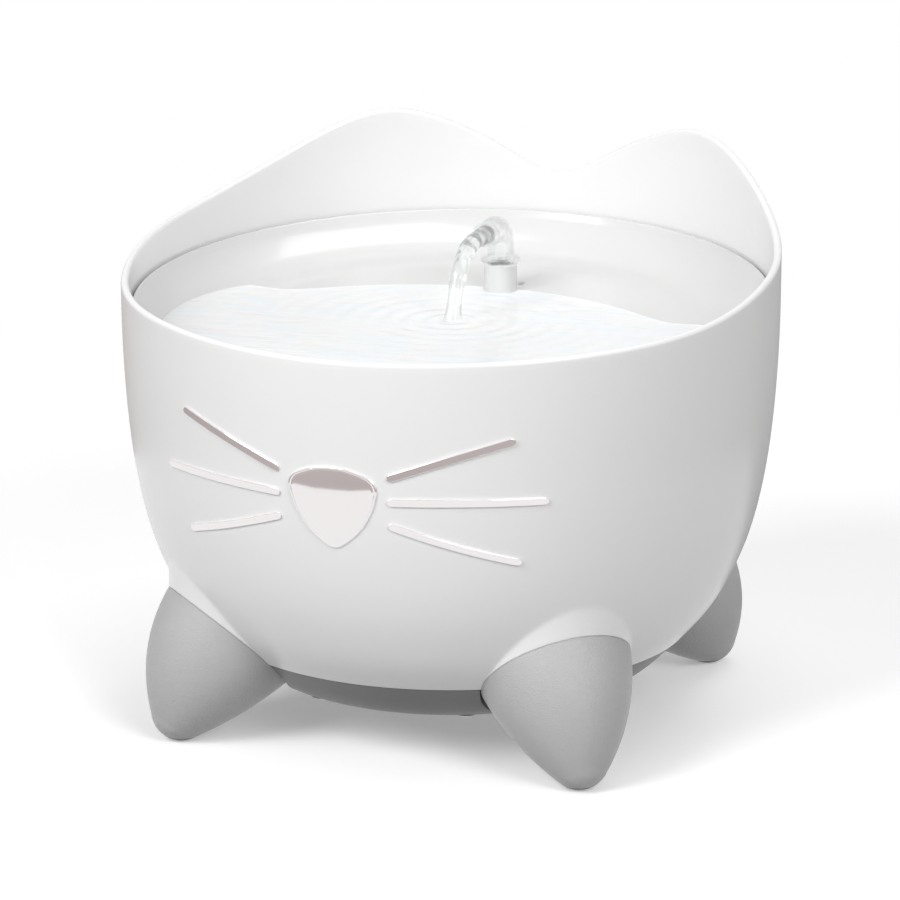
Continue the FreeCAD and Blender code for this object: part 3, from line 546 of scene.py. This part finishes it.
class FOUNTAIN_OT_shell(Operator):
    """Bowl with ears: one turned skin whose lower edge climbs over the legs and whose lip is round"""
    bl_idname = "fountain.shell"
    bl_label = "Bowl"

    def execute(self, context):
        sizes, colours = context.scene.fountain_sizes, context.scene.fountain_colours
        columns = sizes.columns
        wall = sizes.wall / MM
        angles = np.arange(columns) * 2 * math.pi / columns
        from_back = np.degrees(angles) - 90
        top = rim_height(from_back)
        shoulder = np.zeros(columns)
        low = np.full(columns, BOWL_BOTTOM)
        for leg in LEG_ANGLES.values():
            turn = wrapped(angles - math.radians(leg))
            radius, inside = shoulder_radius(turn)
            near = np.abs(turn) < 0.5
            shoulder = np.where(near, radius, shoulder)
            plane = LEG_TOP[1] + math.tan(LEG_TOP_TILT) * (radius * np.cos(turn) - LEG_TOP[0])
            low = np.where(near & inside, np.maximum(plane, BOWL_BOTTOM), low)
        rows = []

        def add(radius, height):
            rows.append(np.stack([radius * np.cos(angles), radius * np.sin(angles),
                                  np.broadcast_to(height, angles.shape)], axis=1))

        inside = inner_curve(wall)
        lip = wall / 2
        add(np.zeros(columns), BOWL_BOTTOM)
        add(np.full(columns, 60.0), BOWL_BOTTOM)
        for step in np.linspace(0, 1, 6):
            height = BOWL_BOTTOM + (low - BOWL_BOTTOM) * step
            add(bowl_radius(height), height)
        for step in np.linspace(0, 1, 84) ** 1.25:
            height = low + (top - lip - low) * step
            plain = bowl_radius(height)
            gap = plain - shoulder
            add(np.where(shoulder > 0, 0.5 * (plain + shoulder + np.sqrt(gap * gap + SHOULDER_BLEND)),
                         plain), height)
        for turn in np.linspace(0, math.pi, 11)[1:]:
            add(np.full(columns, BOWL_RADIUS - lip + lip * math.cos(turn)),
                top - lip + lip * math.sin(turn))
        corner = BOWL_FLOOR + FLOOR_CORNER
        floor_radius = np.interp(corner, inside[:, 1], inside[:, 0])
        for step in np.linspace(0, 1, 60)[1:]:
            height = (top - lip) * (1 - step) + corner * step
            add(np.interp(height, inside[:, 1], inside[:, 0]), height)
        for turn in np.radians((30, 60, 90)):
            add(np.full(columns, floor_radius - FLOOR_CORNER * (1 - math.cos(turn))),
                corner - FLOOR_CORNER * math.sin(turn))
        add(np.full(columns, 40.0), BOWL_FLOOR)
        add(np.zeros(columns), BOWL_FLOOR)
        skin = (np.concatenate(rows), grid(len(rows), columns))
        ledge = turned(LEDGE, 180, DISH_PLACE)
        made = new_object("outer_shell_skin", *joined([skin, ledge]))
        finish_piece(made, "bowl", "shell_white",
                     moulding("White gloss shell", colours.shell, rough=0.24, grain=420.0, bump=0.02,
                              depth=0.02, spread=0.05, specular=0.35), "outer_shell")
        return {"FINISHED"}


DISH_PLACE = Matrix.Translation((0, 0, DISH_HEIGHT)) @ Matrix.Rotation(math.atan(DISH_SLOPE), 4, "X")
DISH_CURVE = curve_points(DISH_TOP, 300, *DISH_ENDS)


def dish_floor(x, y):
    """Height of the dish's top face over a point of the plan, in millimetres."""
    depth = float(np.interp(math.hypot(x, y), DISH_CURVE[:, 0], DISH_CURVE[:, 1]))
    return DISH_HEIGHT + DISH_SLOPE * y + depth


class FOUNTAIN_OT_dish(Operator):
    """Drinking dish with its round lip, its pedestal and the drain holes behind the pedestal"""
    bl_idname = "fountain.dish"
    bl_label = "Drinking dish"

    def execute(self, context):
        colours = context.scene.fountain_colours
        top = [tuple(p) for p in curve_points(DISH_TOP, 70, *DISH_ENDS)]
        under = [tuple(p) for p in curve_points(DISH_UNDER, 40)]
        lip = round_arc((DISH_RADIUS - DISH_LIP, -0.85), DISH_LIP, 150, 0, 9)
        profile = top[:-1] + lip + [(DISH_RADIUS, -4.1), (DISH_RADIUS - 0.4, -4.5)] + under[::-1]
        dish = new_object("dish_skin", *turned(profile, 360, DISH_PLACE, closed=False))
        cutters = [turned([(0, 125), (5.2, 125), (5.2, 150), (0, 150)], 48, y=SPOUT_Y)]
        for turn in np.radians(DRAIN_ANGLES):
            cutters.append(turned([(0, 125), (DRAIN_RADIUS, 125), (DRAIN_RADIUS, 150), (0, 150)], 24,
                                  x=DRAIN_DISTANCE * math.sin(turn),
                                  y=SPOUT_Y + DRAIN_DISTANCE * math.cos(turn)))
        cutter = new_object("dish_cutter", *joined(cutters))
        cut = dish.modifiers.new("Holes", "BOOLEAN")
        cut.operation = "DIFFERENCE"
        cut.solver = "EXACT"
        cut.object = cutter
        apply_modifiers(dish)
        bpy.data.objects.remove(cutter)
        edge = 0.6
        pedestal = ([(4.25, PEDESTAL_BOTTOM), (PEDESTAL_RADIUS, PEDESTAL_BOTTOM),
                     (PEDESTAL_RADIUS, PEDESTAL_TOP - 0.7)]
                    + round_arc((PEDESTAL_RADIUS - edge, PEDESTAL_TOP - edge), edge, 0, 90, 6)
                    + [(PEDESTAL_BORE, PEDESTAL_TOP), (PEDESTAL_BORE, 135.0),
                       (3.0, 135.0), (3.0, 132.0), (4.25, 132.0)])
        post = new_object("dish_pedestal", *turned(pedestal, 72, y=SPOUT_Y))
        crease(post, 35)
        material = moulding("White gloss dish", colours.dish, rough=0.16, grain=420.0, bump=0.015,
                            depth=0.015, coat=0.5, spread=0.04)
        finish_piece(dish, "dish", "dish_white", material, "drinking_dish")
        finish_piece(post, "dish", "dish_white", material)
        return {"FINISHED"}


def leg_rows():
    """Circles down a leg on the +X side: centre, radius and tilt, from the bowl to the round tip."""
    top, tip = np.array(LEG_TOP), np.array(LEG_TIP)
    along = unit(tip - top)
    last_tilt = math.atan2(along[0], -along[1])
    touch = 0.6  # angle at which the swelling side meets the ball without a step, closed in on below
    for _ in range(40):
        length = np.linalg.norm(tip - top) + LEG_BALL_RADIUS * math.sin(touch)
        touch = math.atan((LEG_TOP_RADIUS + 4 * LEG_BULGE - LEG_BALL_RADIUS * math.cos(touch)) / length)
    last = tip + along * LEG_BALL_RADIUS * math.sin(touch)
    end = LEG_BALL_RADIUS * math.cos(touch)
    rows = []
    for s in np.linspace(0, 1, 49):
        swell = 4 * s * (1 - s)
        centre = top + (last - top) * s + np.array([LEG_LEAN * swell, 0])
        radius = LEG_TOP_RADIUS + s * (end - LEG_TOP_RADIUS) + LEG_BULGE * swell
        rows.append((centre, radius, LEG_TOP_TILT + s * (last_tilt - LEG_TOP_TILT)))
    for turn in np.linspace(touch, math.pi / 2, 14)[1:]:
        centre = tip + along * LEG_BALL_RADIUS * math.sin(turn)
        rows.append((centre, LEG_BALL_RADIUS * math.cos(turn), last_tilt))
    caps = [(top, LEG_TOP_RADIUS * share, LEG_TOP_TILT) for share in np.linspace(0, 1, 25)[:-1]]
    return caps + rows


def leg_points(columns):
    """Points of a leg on the +X side; what would lie inside the bowl is moved out to the bowl's skin."""
    points = []
    for centre, radius, tilt in leg_rows():
        for a in np.arange(columns) * 2 * math.pi / columns:
            x = centre[0] + radius * math.cos(a) * math.cos(tilt)
            y = radius * math.sin(a)
            z = centre[1] + radius * math.cos(a) * math.sin(tilt)
            if z > BOWL_BOTTOM:
                away = math.hypot(x, y)
                grown = max(away, float(bowl_radius(z)) - LEG_SINK) / away
                x, y = x * grown, y * grown
            points.append((x, y, z))
    return np.array(points)


class FOUNTAIN_OT_legs(Operator):
    """Four tapered legs with round tips, cut flat at the height of the rubber pads under them"""
    bl_idname = "fountain.legs"
    bl_label = "Legs"

    def execute(self, context):
        colours = context.scene.fountain_colours
        material = moulding("Grey leg plastic", colours.legs, rough=0.42, grain=2100.0, bump=1.0,
                            depth=0.06, specular=0.45, relief=0.00026)
        columns = 128
        points = leg_points(columns)
        for name, angle in LEG_ANGLES.items():
            c, s = math.cos(math.radians(angle)), math.sin(math.radians(angle))
            placed = points @ np.array([[c, s, 0], [-s, c, 0], [0, 0, 1]])
            made = new_object(name + "_skin", placed, grid(len(points) // columns, columns))
            shape = bmesh.new()
            shape.from_mesh(made.data)
            whole = shape.verts[:] + shape.edges[:] + shape.faces[:]
            cut = bmesh.ops.bisect_plane(shape, geom=whole, plane_co=(0, 0, PAD_HEIGHT * MM),
                                         plane_no=(0, 0, -1), clear_outer=True)
            rim = [edge for edge in cut["geom_cut"] if isinstance(edge, bmesh.types.BMEdge)]
            bmesh.ops.contextual_create(shape, geom=rim)
            shape.to_mesh(made.data)
            shape.free()
            finish_piece(made, "bowl", "leg_grey", material, name)
        return {"FINISHED"}


class FOUNTAIN_OT_water(Operator):
    """Pool in the dish with rings round the splash, and the stream that falls from the spout"""
    bl_idname = "fountain.water"
    bl_label = "Water"

    def execute(self, context):
        sizes, colours = context.scene.fountain_sizes, context.scene.fountain_colours
        columns, rows = 240, 96
        edge = np.zeros(columns)
        for i in range(columns):
            a = 2 * math.pi * i / columns
            low, high = 5.0, 110.0
            for _ in range(40):
                middle = (low + high) / 2
                if dish_floor(middle * math.cos(a), middle * math.sin(a)) < WATER_LEVEL:
                    low = middle
                else:
                    high = middle
            edge[i] = low + 0.25
        points = []
        for r in range(rows + 1):
            share = r / rows
            for i in range(columns):
                a = 2 * math.pi * i / columns
                x, y = edge[i] * share * math.cos(a), edge[i] * share * math.sin(a)
                away = math.hypot(x, y - SPLASH_Y)
                ring = math.cos(away * 2 * math.pi / RING_LENGTH) * math.exp(-away / RING_FADE)
                ring *= min(1, away / 6)
                shore = min(1, (1 - share) * edge[i] / SHORE)
                drift = 0.35 * math.sin(0.11 * x + 0.21 * y) * math.sin(0.17 * y - 0.05 * x + 1.0)
                lift = sizes.ripple_height / MM * (ring + 0.5 * drift) * shore
                points.append((x, y, WATER_LEVEL + lift + 0.12 * (1 - shore)))
        pool = new_object("water_pool", np.array(points), grid(rows + 1, columns))
        finish_piece(pool, "dish", "spout_clear", pool_material(colours.water))
        path = curve_points(STREAM, 90)
        radii = []
        for share in np.arange(len(path)) / (len(path) - 1):
            wave = 0.10 * math.sin(share * 21) + 0.06 * math.sin(share * 47 + 1)
            foot = 1 + 0.35 * max(0, share - 0.94) / 0.06
            radii.append((STREAM_RADIUS - 0.55 * share + wave) * foot)
        stream = new_object("water_stream", *swept(path, radii, 40))
        finish_piece(stream, "spout_body", "spout_clear",
                     clear_material("Falling water", (0.97, 0.985, 0.99), 1.33, 0.0, 220.0, 0.12, 0.75))
        return {"FINISHED"}


class FOUNTAIN_OT_spout(Operator):
    """Clear elbow with its flange and its stub"""
    bl_idname = "fountain.spout"
    bl_label = "Clear spout"

    def execute(self, context):
        outer = context.scene.fountain_sizes.tube_radius / MM
        inner = outer - SPOUT_WALL
        low, high = FLANGE
        path = [(SPOUT_Y, z) for z in np.linspace(high, SPOUT_AXIS - SPOUT_BEND, 5)]
        path += [(SPOUT_Y - SPOUT_BEND + SPOUT_BEND * math.cos(a),
                  SPOUT_AXIS - SPOUT_BEND + SPOUT_BEND * math.sin(a))
                 for a in np.linspace(0, math.pi / 2, 19)[1:]]
        path += [(y, SPOUT_AXIS) for y in np.linspace(SPOUT_Y - SPOUT_BEND, SPOUT_END, 6)[1:]]
        end = 0.5
        radii = [outer] * len(path) + [outer - end * 0.3, outer - end]
        path += [(SPOUT_END - end * 0.7, SPOUT_AXIS), (SPOUT_END - end, SPOUT_AXIS)]
        sides = 64
        outside, _ = swept(path, radii, sides)
        inside, _ = swept(path[::-1], [inner + end * 0.4] + [inner] * (len(path) - 1), sides)
        # The way back runs the other way round, so its points are put in the order of the way out
        inside = inside.reshape(len(path), sides, 3)[:, ::-1]
        inside = np.roll(inside, sides // 2 + 1, axis=1).reshape(-1, 3)
        body = (np.concatenate([outside, inside]), grid(2 * len(path), sides))
        edge = 0.7
        flange = ([(STUB_BORE, STUB_BOTTOM), (STUB_RADIUS, STUB_BOTTOM), (STUB_RADIUS, low)]
                  + round_arc((FLANGE_RADIUS - edge, low + edge), edge, -90, 0, 6)
                  + round_arc((FLANGE_RADIUS - edge, high - edge), edge, 0, 90, 6)
                  + [(outer + 0.8, high), (outer + 0.15, high + 0.25), (outer, high + 0.8),
                     (STUB_BORE, high + 0.8)])
        made = new_object("spout_clear_tube", *joined([body, turned(flange, 96, y=SPOUT_Y)]))
        crease(made, 40)
        finish_piece(made, "spout_body", "spout_clear",
                     clear_material("Clear spout plastic", (0.97, 0.98, 0.985), 1.46, 0.01, 90.0, 0.03,
                                    0.45),
                     "spout")
        return {"FINISHED"}


def on_bowl(x, height, proud):
    """Point of the front of the bowl at a plan x and a height, moved out by some millimetres."""
    radius = float(bowl_radius(height)) + proud
    x *= radius / (radius - proud)
    return x, -math.sqrt(max(radius ** 2 - x ** 2, 0)), height


def arc_points(a, b, c, count):
    """Points on the circle through three points of a plane."""
    (ax, ay), (bx, by), (cx, cy) = a, b, c
    d = 2 * (ax * (by - cy) + bx * (cy - ay) + cx * (ay - by))
    aa, bb, cc = ax * ax + ay * ay, bx * bx + by * by, cx * cx + cy * cy
    ux = (aa * (by - cy) + bb * (cy - ay) + cc * (ay - by)) / d
    uy = (aa * (cx - bx) + bb * (ax - cx) + cc * (bx - ax)) / d
    start = math.atan2(ay - uy, ax - ux)
    middle = wrapped(math.atan2(by - uy, bx - ux) - start)
    end = wrapped(math.atan2(cy - uy, cx - ux) - start)
    if middle * end < 0:
        end += 2 * math.pi if middle > 0 else -2 * math.pi
    radius = math.hypot(ax - ux, ay - uy)
    return [(ux + radius * math.cos(start + end * t), uy + radius * math.sin(start + end * t))
            for t in np.linspace(0, 1, count)]


def nose_outline():
    """Outline of the nose in the plane of x and height, right half and its mirror image."""
    crown, shoulder, corner, widest, side, low, tip = NOSE
    right = arc_points(crown, (shoulder[0] / 2 + 0.1, 115.75), shoulder, 16)[:-1]
    right += arc_points(shoulder, corner, widest, 14)[:-1]
    right += arc_points(widest, side, low, 24)[:-1]
    right += arc_points(low, (1.7, 88.02), tip, 6)
    return right + [(-x, z) for x, z in right[-2:0:-1]]


def longer(line, more):
    """A line of points carried on straight at both ends, with close points for a round end."""
    steps = more * (1 - np.cos(np.linspace(0, math.pi / 2, 9)))[:-1]
    first, last = unit(line[0] - line[1]), unit(line[-1] - line[-2])
    head = [line[0] + first * (more - step) for step in steps]
    tail = [line[-1] + last * (more - step) for step in steps[::-1]]
    return np.concatenate([head, line, tail])


class FOUNTAIN_OT_face(Operator):
    """Plated nose and six whiskers that follow the bowl's curve"""
    bl_idname = "fountain.face"
    bl_label = "Nose and whiskers"

    def execute(self, context):
        sizes, colours = context.scene.fountain_sizes, context.scene.fountain_colours
        proud = sizes.trim_proud / MM
        material = moulding("Plated mirror trim", colours.trim, rough=0.05, grain=300.0, bump=0.01,
                            depth=0.02, spread=0.03, metallic=1.0)
        outline = np.array(nose_outline())
        centre = np.array(NOSE_CENTRE)
        points = []
        steps = [(1.0, -0.3), (1.0, proud - 0.25), (0.985, proud - 0.05), (0.965, proud),
                 (0.945, proud), (0.93, proud - 0.06), (0.91, proud + 0.02)]
        steps += [(s, proud + 0.12 * (1 - s * s)) for s in np.linspace(0.88, 0.0, 22)]
        for share, height in steps:
            for p in centre + (outline - centre) * share:
                points.append(on_bowl(p[0], p[1], height))
        nose = new_object("nose_trim_face", np.array(points), grid(len(steps), len(outline)))
        finish_piece(nose, "bowl", "mirror_trim", material, "nose_trim")
        half = sizes.whisker_width / MM / 2
        for level, ends in WHISKERS.items():
            line = longer(np.array(arc_points(*ends, 90)), half)
            ahead = np.gradient(line, axis=0)
            ahead /= np.linalg.norm(ahead, axis=1)[:, None]
            beside = np.stack([-ahead[:, 1], ahead[:, 0]], axis=1)
            along = np.append(0, np.cumsum(np.linalg.norm(np.diff(line, axis=0), axis=1)))
            for side, word in ((-1, "left"), (1, "right")):
                points = []
                for i in range(len(line)):
                    room = min(along[i], along[-1] - along[i])
                    width = math.sqrt(max(half ** 2 - max(half - room, 0) ** 2, 0.0004))
                    for across, height in WHISKER_SECTION:
                        x, z = line[i] + beside[i] * across * width
                        points.append(on_bowl(side * x, z, height * proud if height > 0 else height))
                name = "whisker_%s_%s" % (word, level)
                made = new_object(name + "_face", np.array(points), grid(len(line), len(WHISKER_SECTION)))
                finish_piece(made, "bowl", "mirror_trim", material, name)
        return {"FINISHED"}


class FOUNTAIN_OT_nodes(Operator):
    """Finishes of the pieces whose construction shapes are shown: base, pads and the inner works"""
    bl_idname = "fountain.nodes"
    bl_label = "Base and inner works"

    def execute(self, context):
        colours = context.scene.fountain_colours
        base = moulding("Dark base plastic", colours.base, rough=0.5, grain=2600.0, bump=0.3, depth=0.05)
        pads = moulding("Foot rubber", (0.30, 0.30, 0.30), rough=0.7, grain=1500.0, bump=0.3, depth=0.08)
        steel = moulding("Zinc plated steel", (0.62, 0.62, 0.63), rough=0.3, grain=900.0, bump=0.1,
                         depth=0.1, metallic=1.0)
        board = moulding("Board lacquer", (0.04, 0.22, 0.10), rough=0.3, grain=1400.0, bump=0.2, depth=0.3)
        copper = moulding("Lacquered copper", (0.68, 0.33, 0.16), rough=0.3, grain=2400.0, bump=0.6,
                          depth=0.2, metallic=0.8)
        white = moulding("Plain white plastic", (0.76, 0.76, 0.75), rough=0.4, grain=1800.0, bump=0.15)
        soft = moulding("Translucent rubber", (0.62, 0.63, 0.63), rough=0.45, grain=1200.0, bump=0.15)
        black = moulding("Black pump plastic", (0.028, 0.028, 0.03), rough=0.42, grain=2000.0, bump=0.3)
        blue = moulding("Blue impeller plastic", (0.05, 0.16, 0.46), rough=0.35, grain=1600.0, bump=0.15)
        ceramic = moulding("Polished ceramic", (0.85, 0.85, 0.82), rough=0.12, grain=600.0, bump=0.02,
                           coat=0.4)
        foam = moulding("Open cell foam", (0.05, 0.05, 0.055), rough=0.95, grain=900.0, bump=1.0, depth=0.6)
        fleece = moulding("Carbon pouch fleece", (0.60, 0.60, 0.58), rough=0.95, grain=700.0, bump=0.9,
                          depth=0.4, tone_scale=160.0)
        finishes = {"base_grey": base, "foot_rubber": pads, "screw_steel": steel,
                    "board_green": board, "coil_copper": copper, "inner_white": white,
                    "clear_rubber": soft, "seal_rubber": soft, "pump_black": black,
                    "impeller_blue": blue, "ceramic": ceramic, "foam": foam, "carbon": fleece,
                    "socket_metal": steel}
        for part in frame["record"]["subparts"]:
            node = NODES[part["node"]]
            if part["material_slot"] not in finishes:
                continue
            node.data.materials.clear()
            node.data.materials.append(finishes[part["material_slot"]])
        return {"FINISHED"}


class FOUNTAIN_OT_stage(Operator):
    """Pale floor, soft studio light and the camera of the photograph"""
    bl_idname = "fountain.stage"
    bl_label = "Stage and camera"

    def execute(self, context):
        self.floor()
        self.world(context.scene)
        for values in LAMPS:
            lamp(*values)
        rear = lamp(*REAR_LAMP)
        rear.visible_camera = False
        rear.visible_glossy = False
        rear.visible_transmission = False
        self.camera(context.scene)
        return {"FINISHED"}

    def floor(self):
        points = np.array([(-4000, -4000, 0), (4000, -4000, 0), (4000, 4000, 0), (-4000, 4000, 0)])
        made = new_object("studio_floor", points, [(0, 1, 2, 3)], smooth=False)
        material, nodes, links = plain_material("Studio floor")
        lit = nodes["Principled BSDF"]
        lit.inputs["Base Color"].default_value = (FLOOR_TONE, FLOOR_TONE, FLOOR_TONE, 1)
        lit.inputs["Roughness"].default_value = 0.9
        lit.inputs["Specular IOR Level"].default_value = 0.0
        glow = nodes.new("ShaderNodeEmission")
        glow.inputs["Strength"].default_value = FLOOR_GLOW
        both = nodes.new("ShaderNodeAddShader")
        links.new(lit.outputs[0], both.inputs[0])
        links.new(glow.outputs[0], both.inputs[1])
        white = nodes.new("ShaderNodeEmission")
        white.inputs["Strength"].default_value = 1.0
        bounce = nodes.new("ShaderNodeBsdfDiffuse")
        bounce.inputs["Color"].default_value = (FLOOR_BOUNCE, FLOOR_BOUNCE, FLOOR_BOUNCE, 1)
        place = nodes.new("ShaderNodeTexCoord")
        away = nodes.new("ShaderNodeVectorMath")
        away.operation = "LENGTH"
        links.new(place.outputs["Object"], away.inputs[0])
        far = nodes.new("ShaderNodeMapRange")
        far.interpolation_type = "SMOOTHSTEP"
        far.inputs["From Min"].default_value = FLOOR_FADE[0]
        far.inputs["From Max"].default_value = FLOOR_FADE[1]
        links.new(away.outputs["Value"], far.inputs["Value"])
        seen, camera = seen_rays(nodes, links)
        ground = mixed(nodes, links, far.outputs["Result"], both.outputs[0], white.outputs[0])
        other = mixed(nodes, links, seen, bounce.outputs[0], white.outputs[0])
        last = mixed(nodes, links, camera, other, ground)
        links.new(last, nodes["Material Output"].inputs["Surface"])
        made.data.materials.append(material)
        for values in CARDS:
            reflected_card(*values)

    def world(self, scene):
        world = bpy.data.worlds.new("Studio")
        world.use_nodes = True
        scene.world = world
        nodes, links = world.node_tree.nodes, world.node_tree.links
        room = nodes["Background"]
        room.inputs["Color"].default_value = (1, 1, 1, 1)
        room.inputs["Strength"].default_value = ROOM_LIGHT
        white = nodes.new("ShaderNodeBackground")
        white.inputs["Color"].default_value = (1, 1, 1, 1)
        white.inputs["Strength"].default_value = 1.0
        seen = calculated(nodes, links, "MAXIMUM", *seen_rays(nodes, links))
        both = mixed(nodes, links, seen, room.outputs[0], white.outputs[0])
        links.new(both, nodes["World Output"].inputs["Surface"])
        scene.view_settings.view_transform = "Standard"

    def camera(self, scene):
        a, e = math.radians(CAMERA_AZIMUTH), math.radians(CAMERA_ELEVATION)
        back = Vector((math.sin(a) * math.cos(e), -math.cos(a) * math.cos(e), math.sin(e)))
        data = bpy.data.cameras.new("Photo camera")
        data.lens = CAMERA_LENS
        data.sensor_width = 36.0
        data.shift_x = CAMERA_SHIFT_X
        data.clip_start = 0.05
        data.clip_end = 30.0
        made = bpy.data.objects.new("Photo camera", data)
        made.location = Vector(CAMERA_TARGET) + back * CAMERA_DISTANCE
        made.rotation_mode = "QUATERNION"
        made.rotation_quaternion = (-back).to_track_quat("-Z", "Y")
        scene.collection.objects.link(made)
        scene.camera = made


def reflected_card(name, radii, angles, height, colour):
    """Ring or sector card just over the floor that only reflections show, in millimetres and degrees."""
    turns = np.radians(np.linspace(*angles, 97))
    ring = [(r * math.cos(a), r * math.sin(a), height) for r in radii for a in turns]
    made = new_object(name, np.array(ring), grid(2, 97, wrap_columns=False), smooth=False)
    material, nodes, links = plain_material(name)
    nodes["Principled BSDF"].inputs["Base Color"].default_value = (*colour, 1)
    nodes["Principled BSDF"].inputs["Roughness"].default_value = 0.8
    made.data.materials.append(material)
    made.visible_camera = False
    made.visible_diffuse = False
    made.visible_transmission = False
    made.visible_shadow = False


def mixed(nodes, links, factor, first, second):
    """Two shaders mixed by a factor."""
    mix = nodes.new("ShaderNodeMixShader")
    links.new(factor, mix.inputs[0])
    links.new(first, mix.inputs[1])
    links.new(second, mix.inputs[2])
    return mix.outputs[0]


def seen_rays(nodes, links):
    """Masks of the rays that see the white background: glossy or transmission ones, and the camera's."""
    path = nodes.new("ShaderNodeLightPath")
    other = calculated(nodes, links, "MAXIMUM", path.outputs["Is Glossy Ray"],
                       path.outputs["Is Transmission Ray"])
    return other, path.outputs["Is Camera Ray"]


def lamp(name, place, target, size, power):
    """Square area lamp aimed at a point, in metres and watts."""
    data = bpy.data.lights.new(name, "AREA")
    data.size = size
    data.energy = power
    made = bpy.data.objects.new(name, data)
    made.location = place
    made.rotation_mode = "QUATERNION"
    made.rotation_quaternion = (Vector(target) - Vector(place)).to_track_quat("-Z", "Y")
    bpy.context.scene.collection.objects.link(made)
    return made


OPERATORS = (FOUNTAIN_OT_shell, FOUNTAIN_OT_legs, FOUNTAIN_OT_dish, FOUNTAIN_OT_water, FOUNTAIN_OT_spout,
             FOUNTAIN_OT_face, FOUNTAIN_OT_nodes, FOUNTAIN_OT_stage)


class FOUNTAIN_PT_panel(Panel):
    """Sidebar panel that lists the fountain's sizes, colours and steps"""
    bl_idname = "FOUNTAIN_PT_panel"
    bl_label = "Water fountain"
    bl_space_type = "VIEW_3D"
    bl_region_type = "UI"
    bl_category = "Fountain"

    def draw(self, context):
        for group in (context.scene.fountain_sizes, context.scene.fountain_colours):
            column = self.layout.column(align=True)
            for name in group.__annotations__:
                column.prop(group, name)
        for operator in OPERATORS:
            self.layout.operator(operator.bl_idname)


CLASSES = (FountainSizes, FountainColours) + OPERATORS + (FOUNTAIN_PT_panel,)


def register():
    for item in CLASSES:
        bpy.utils.register_class(item)
    bpy.types.Scene.fountain_sizes = PointerProperty(type=FountainSizes)
    bpy.types.Scene.fountain_colours = PointerProperty(type=FountainColours)


def unregister():
    del bpy.types.Scene.fountain_colours
    del bpy.types.Scene.fountain_sizes
    for item in reversed(CLASSES):
        bpy.utils.unregister_class(item)


def main():
    register()
    bpy.ops.fountain.shell()
    bpy.ops.fountain.legs()
    bpy.ops.fountain.dish()
    bpy.ops.fountain.water()
    bpy.ops.fountain.spout()
    bpy.ops.fountain.face()
    bpy.ops.fountain.nodes()
    bpy.ops.fountain.stage()


if __name__ == "__main__":
    main()
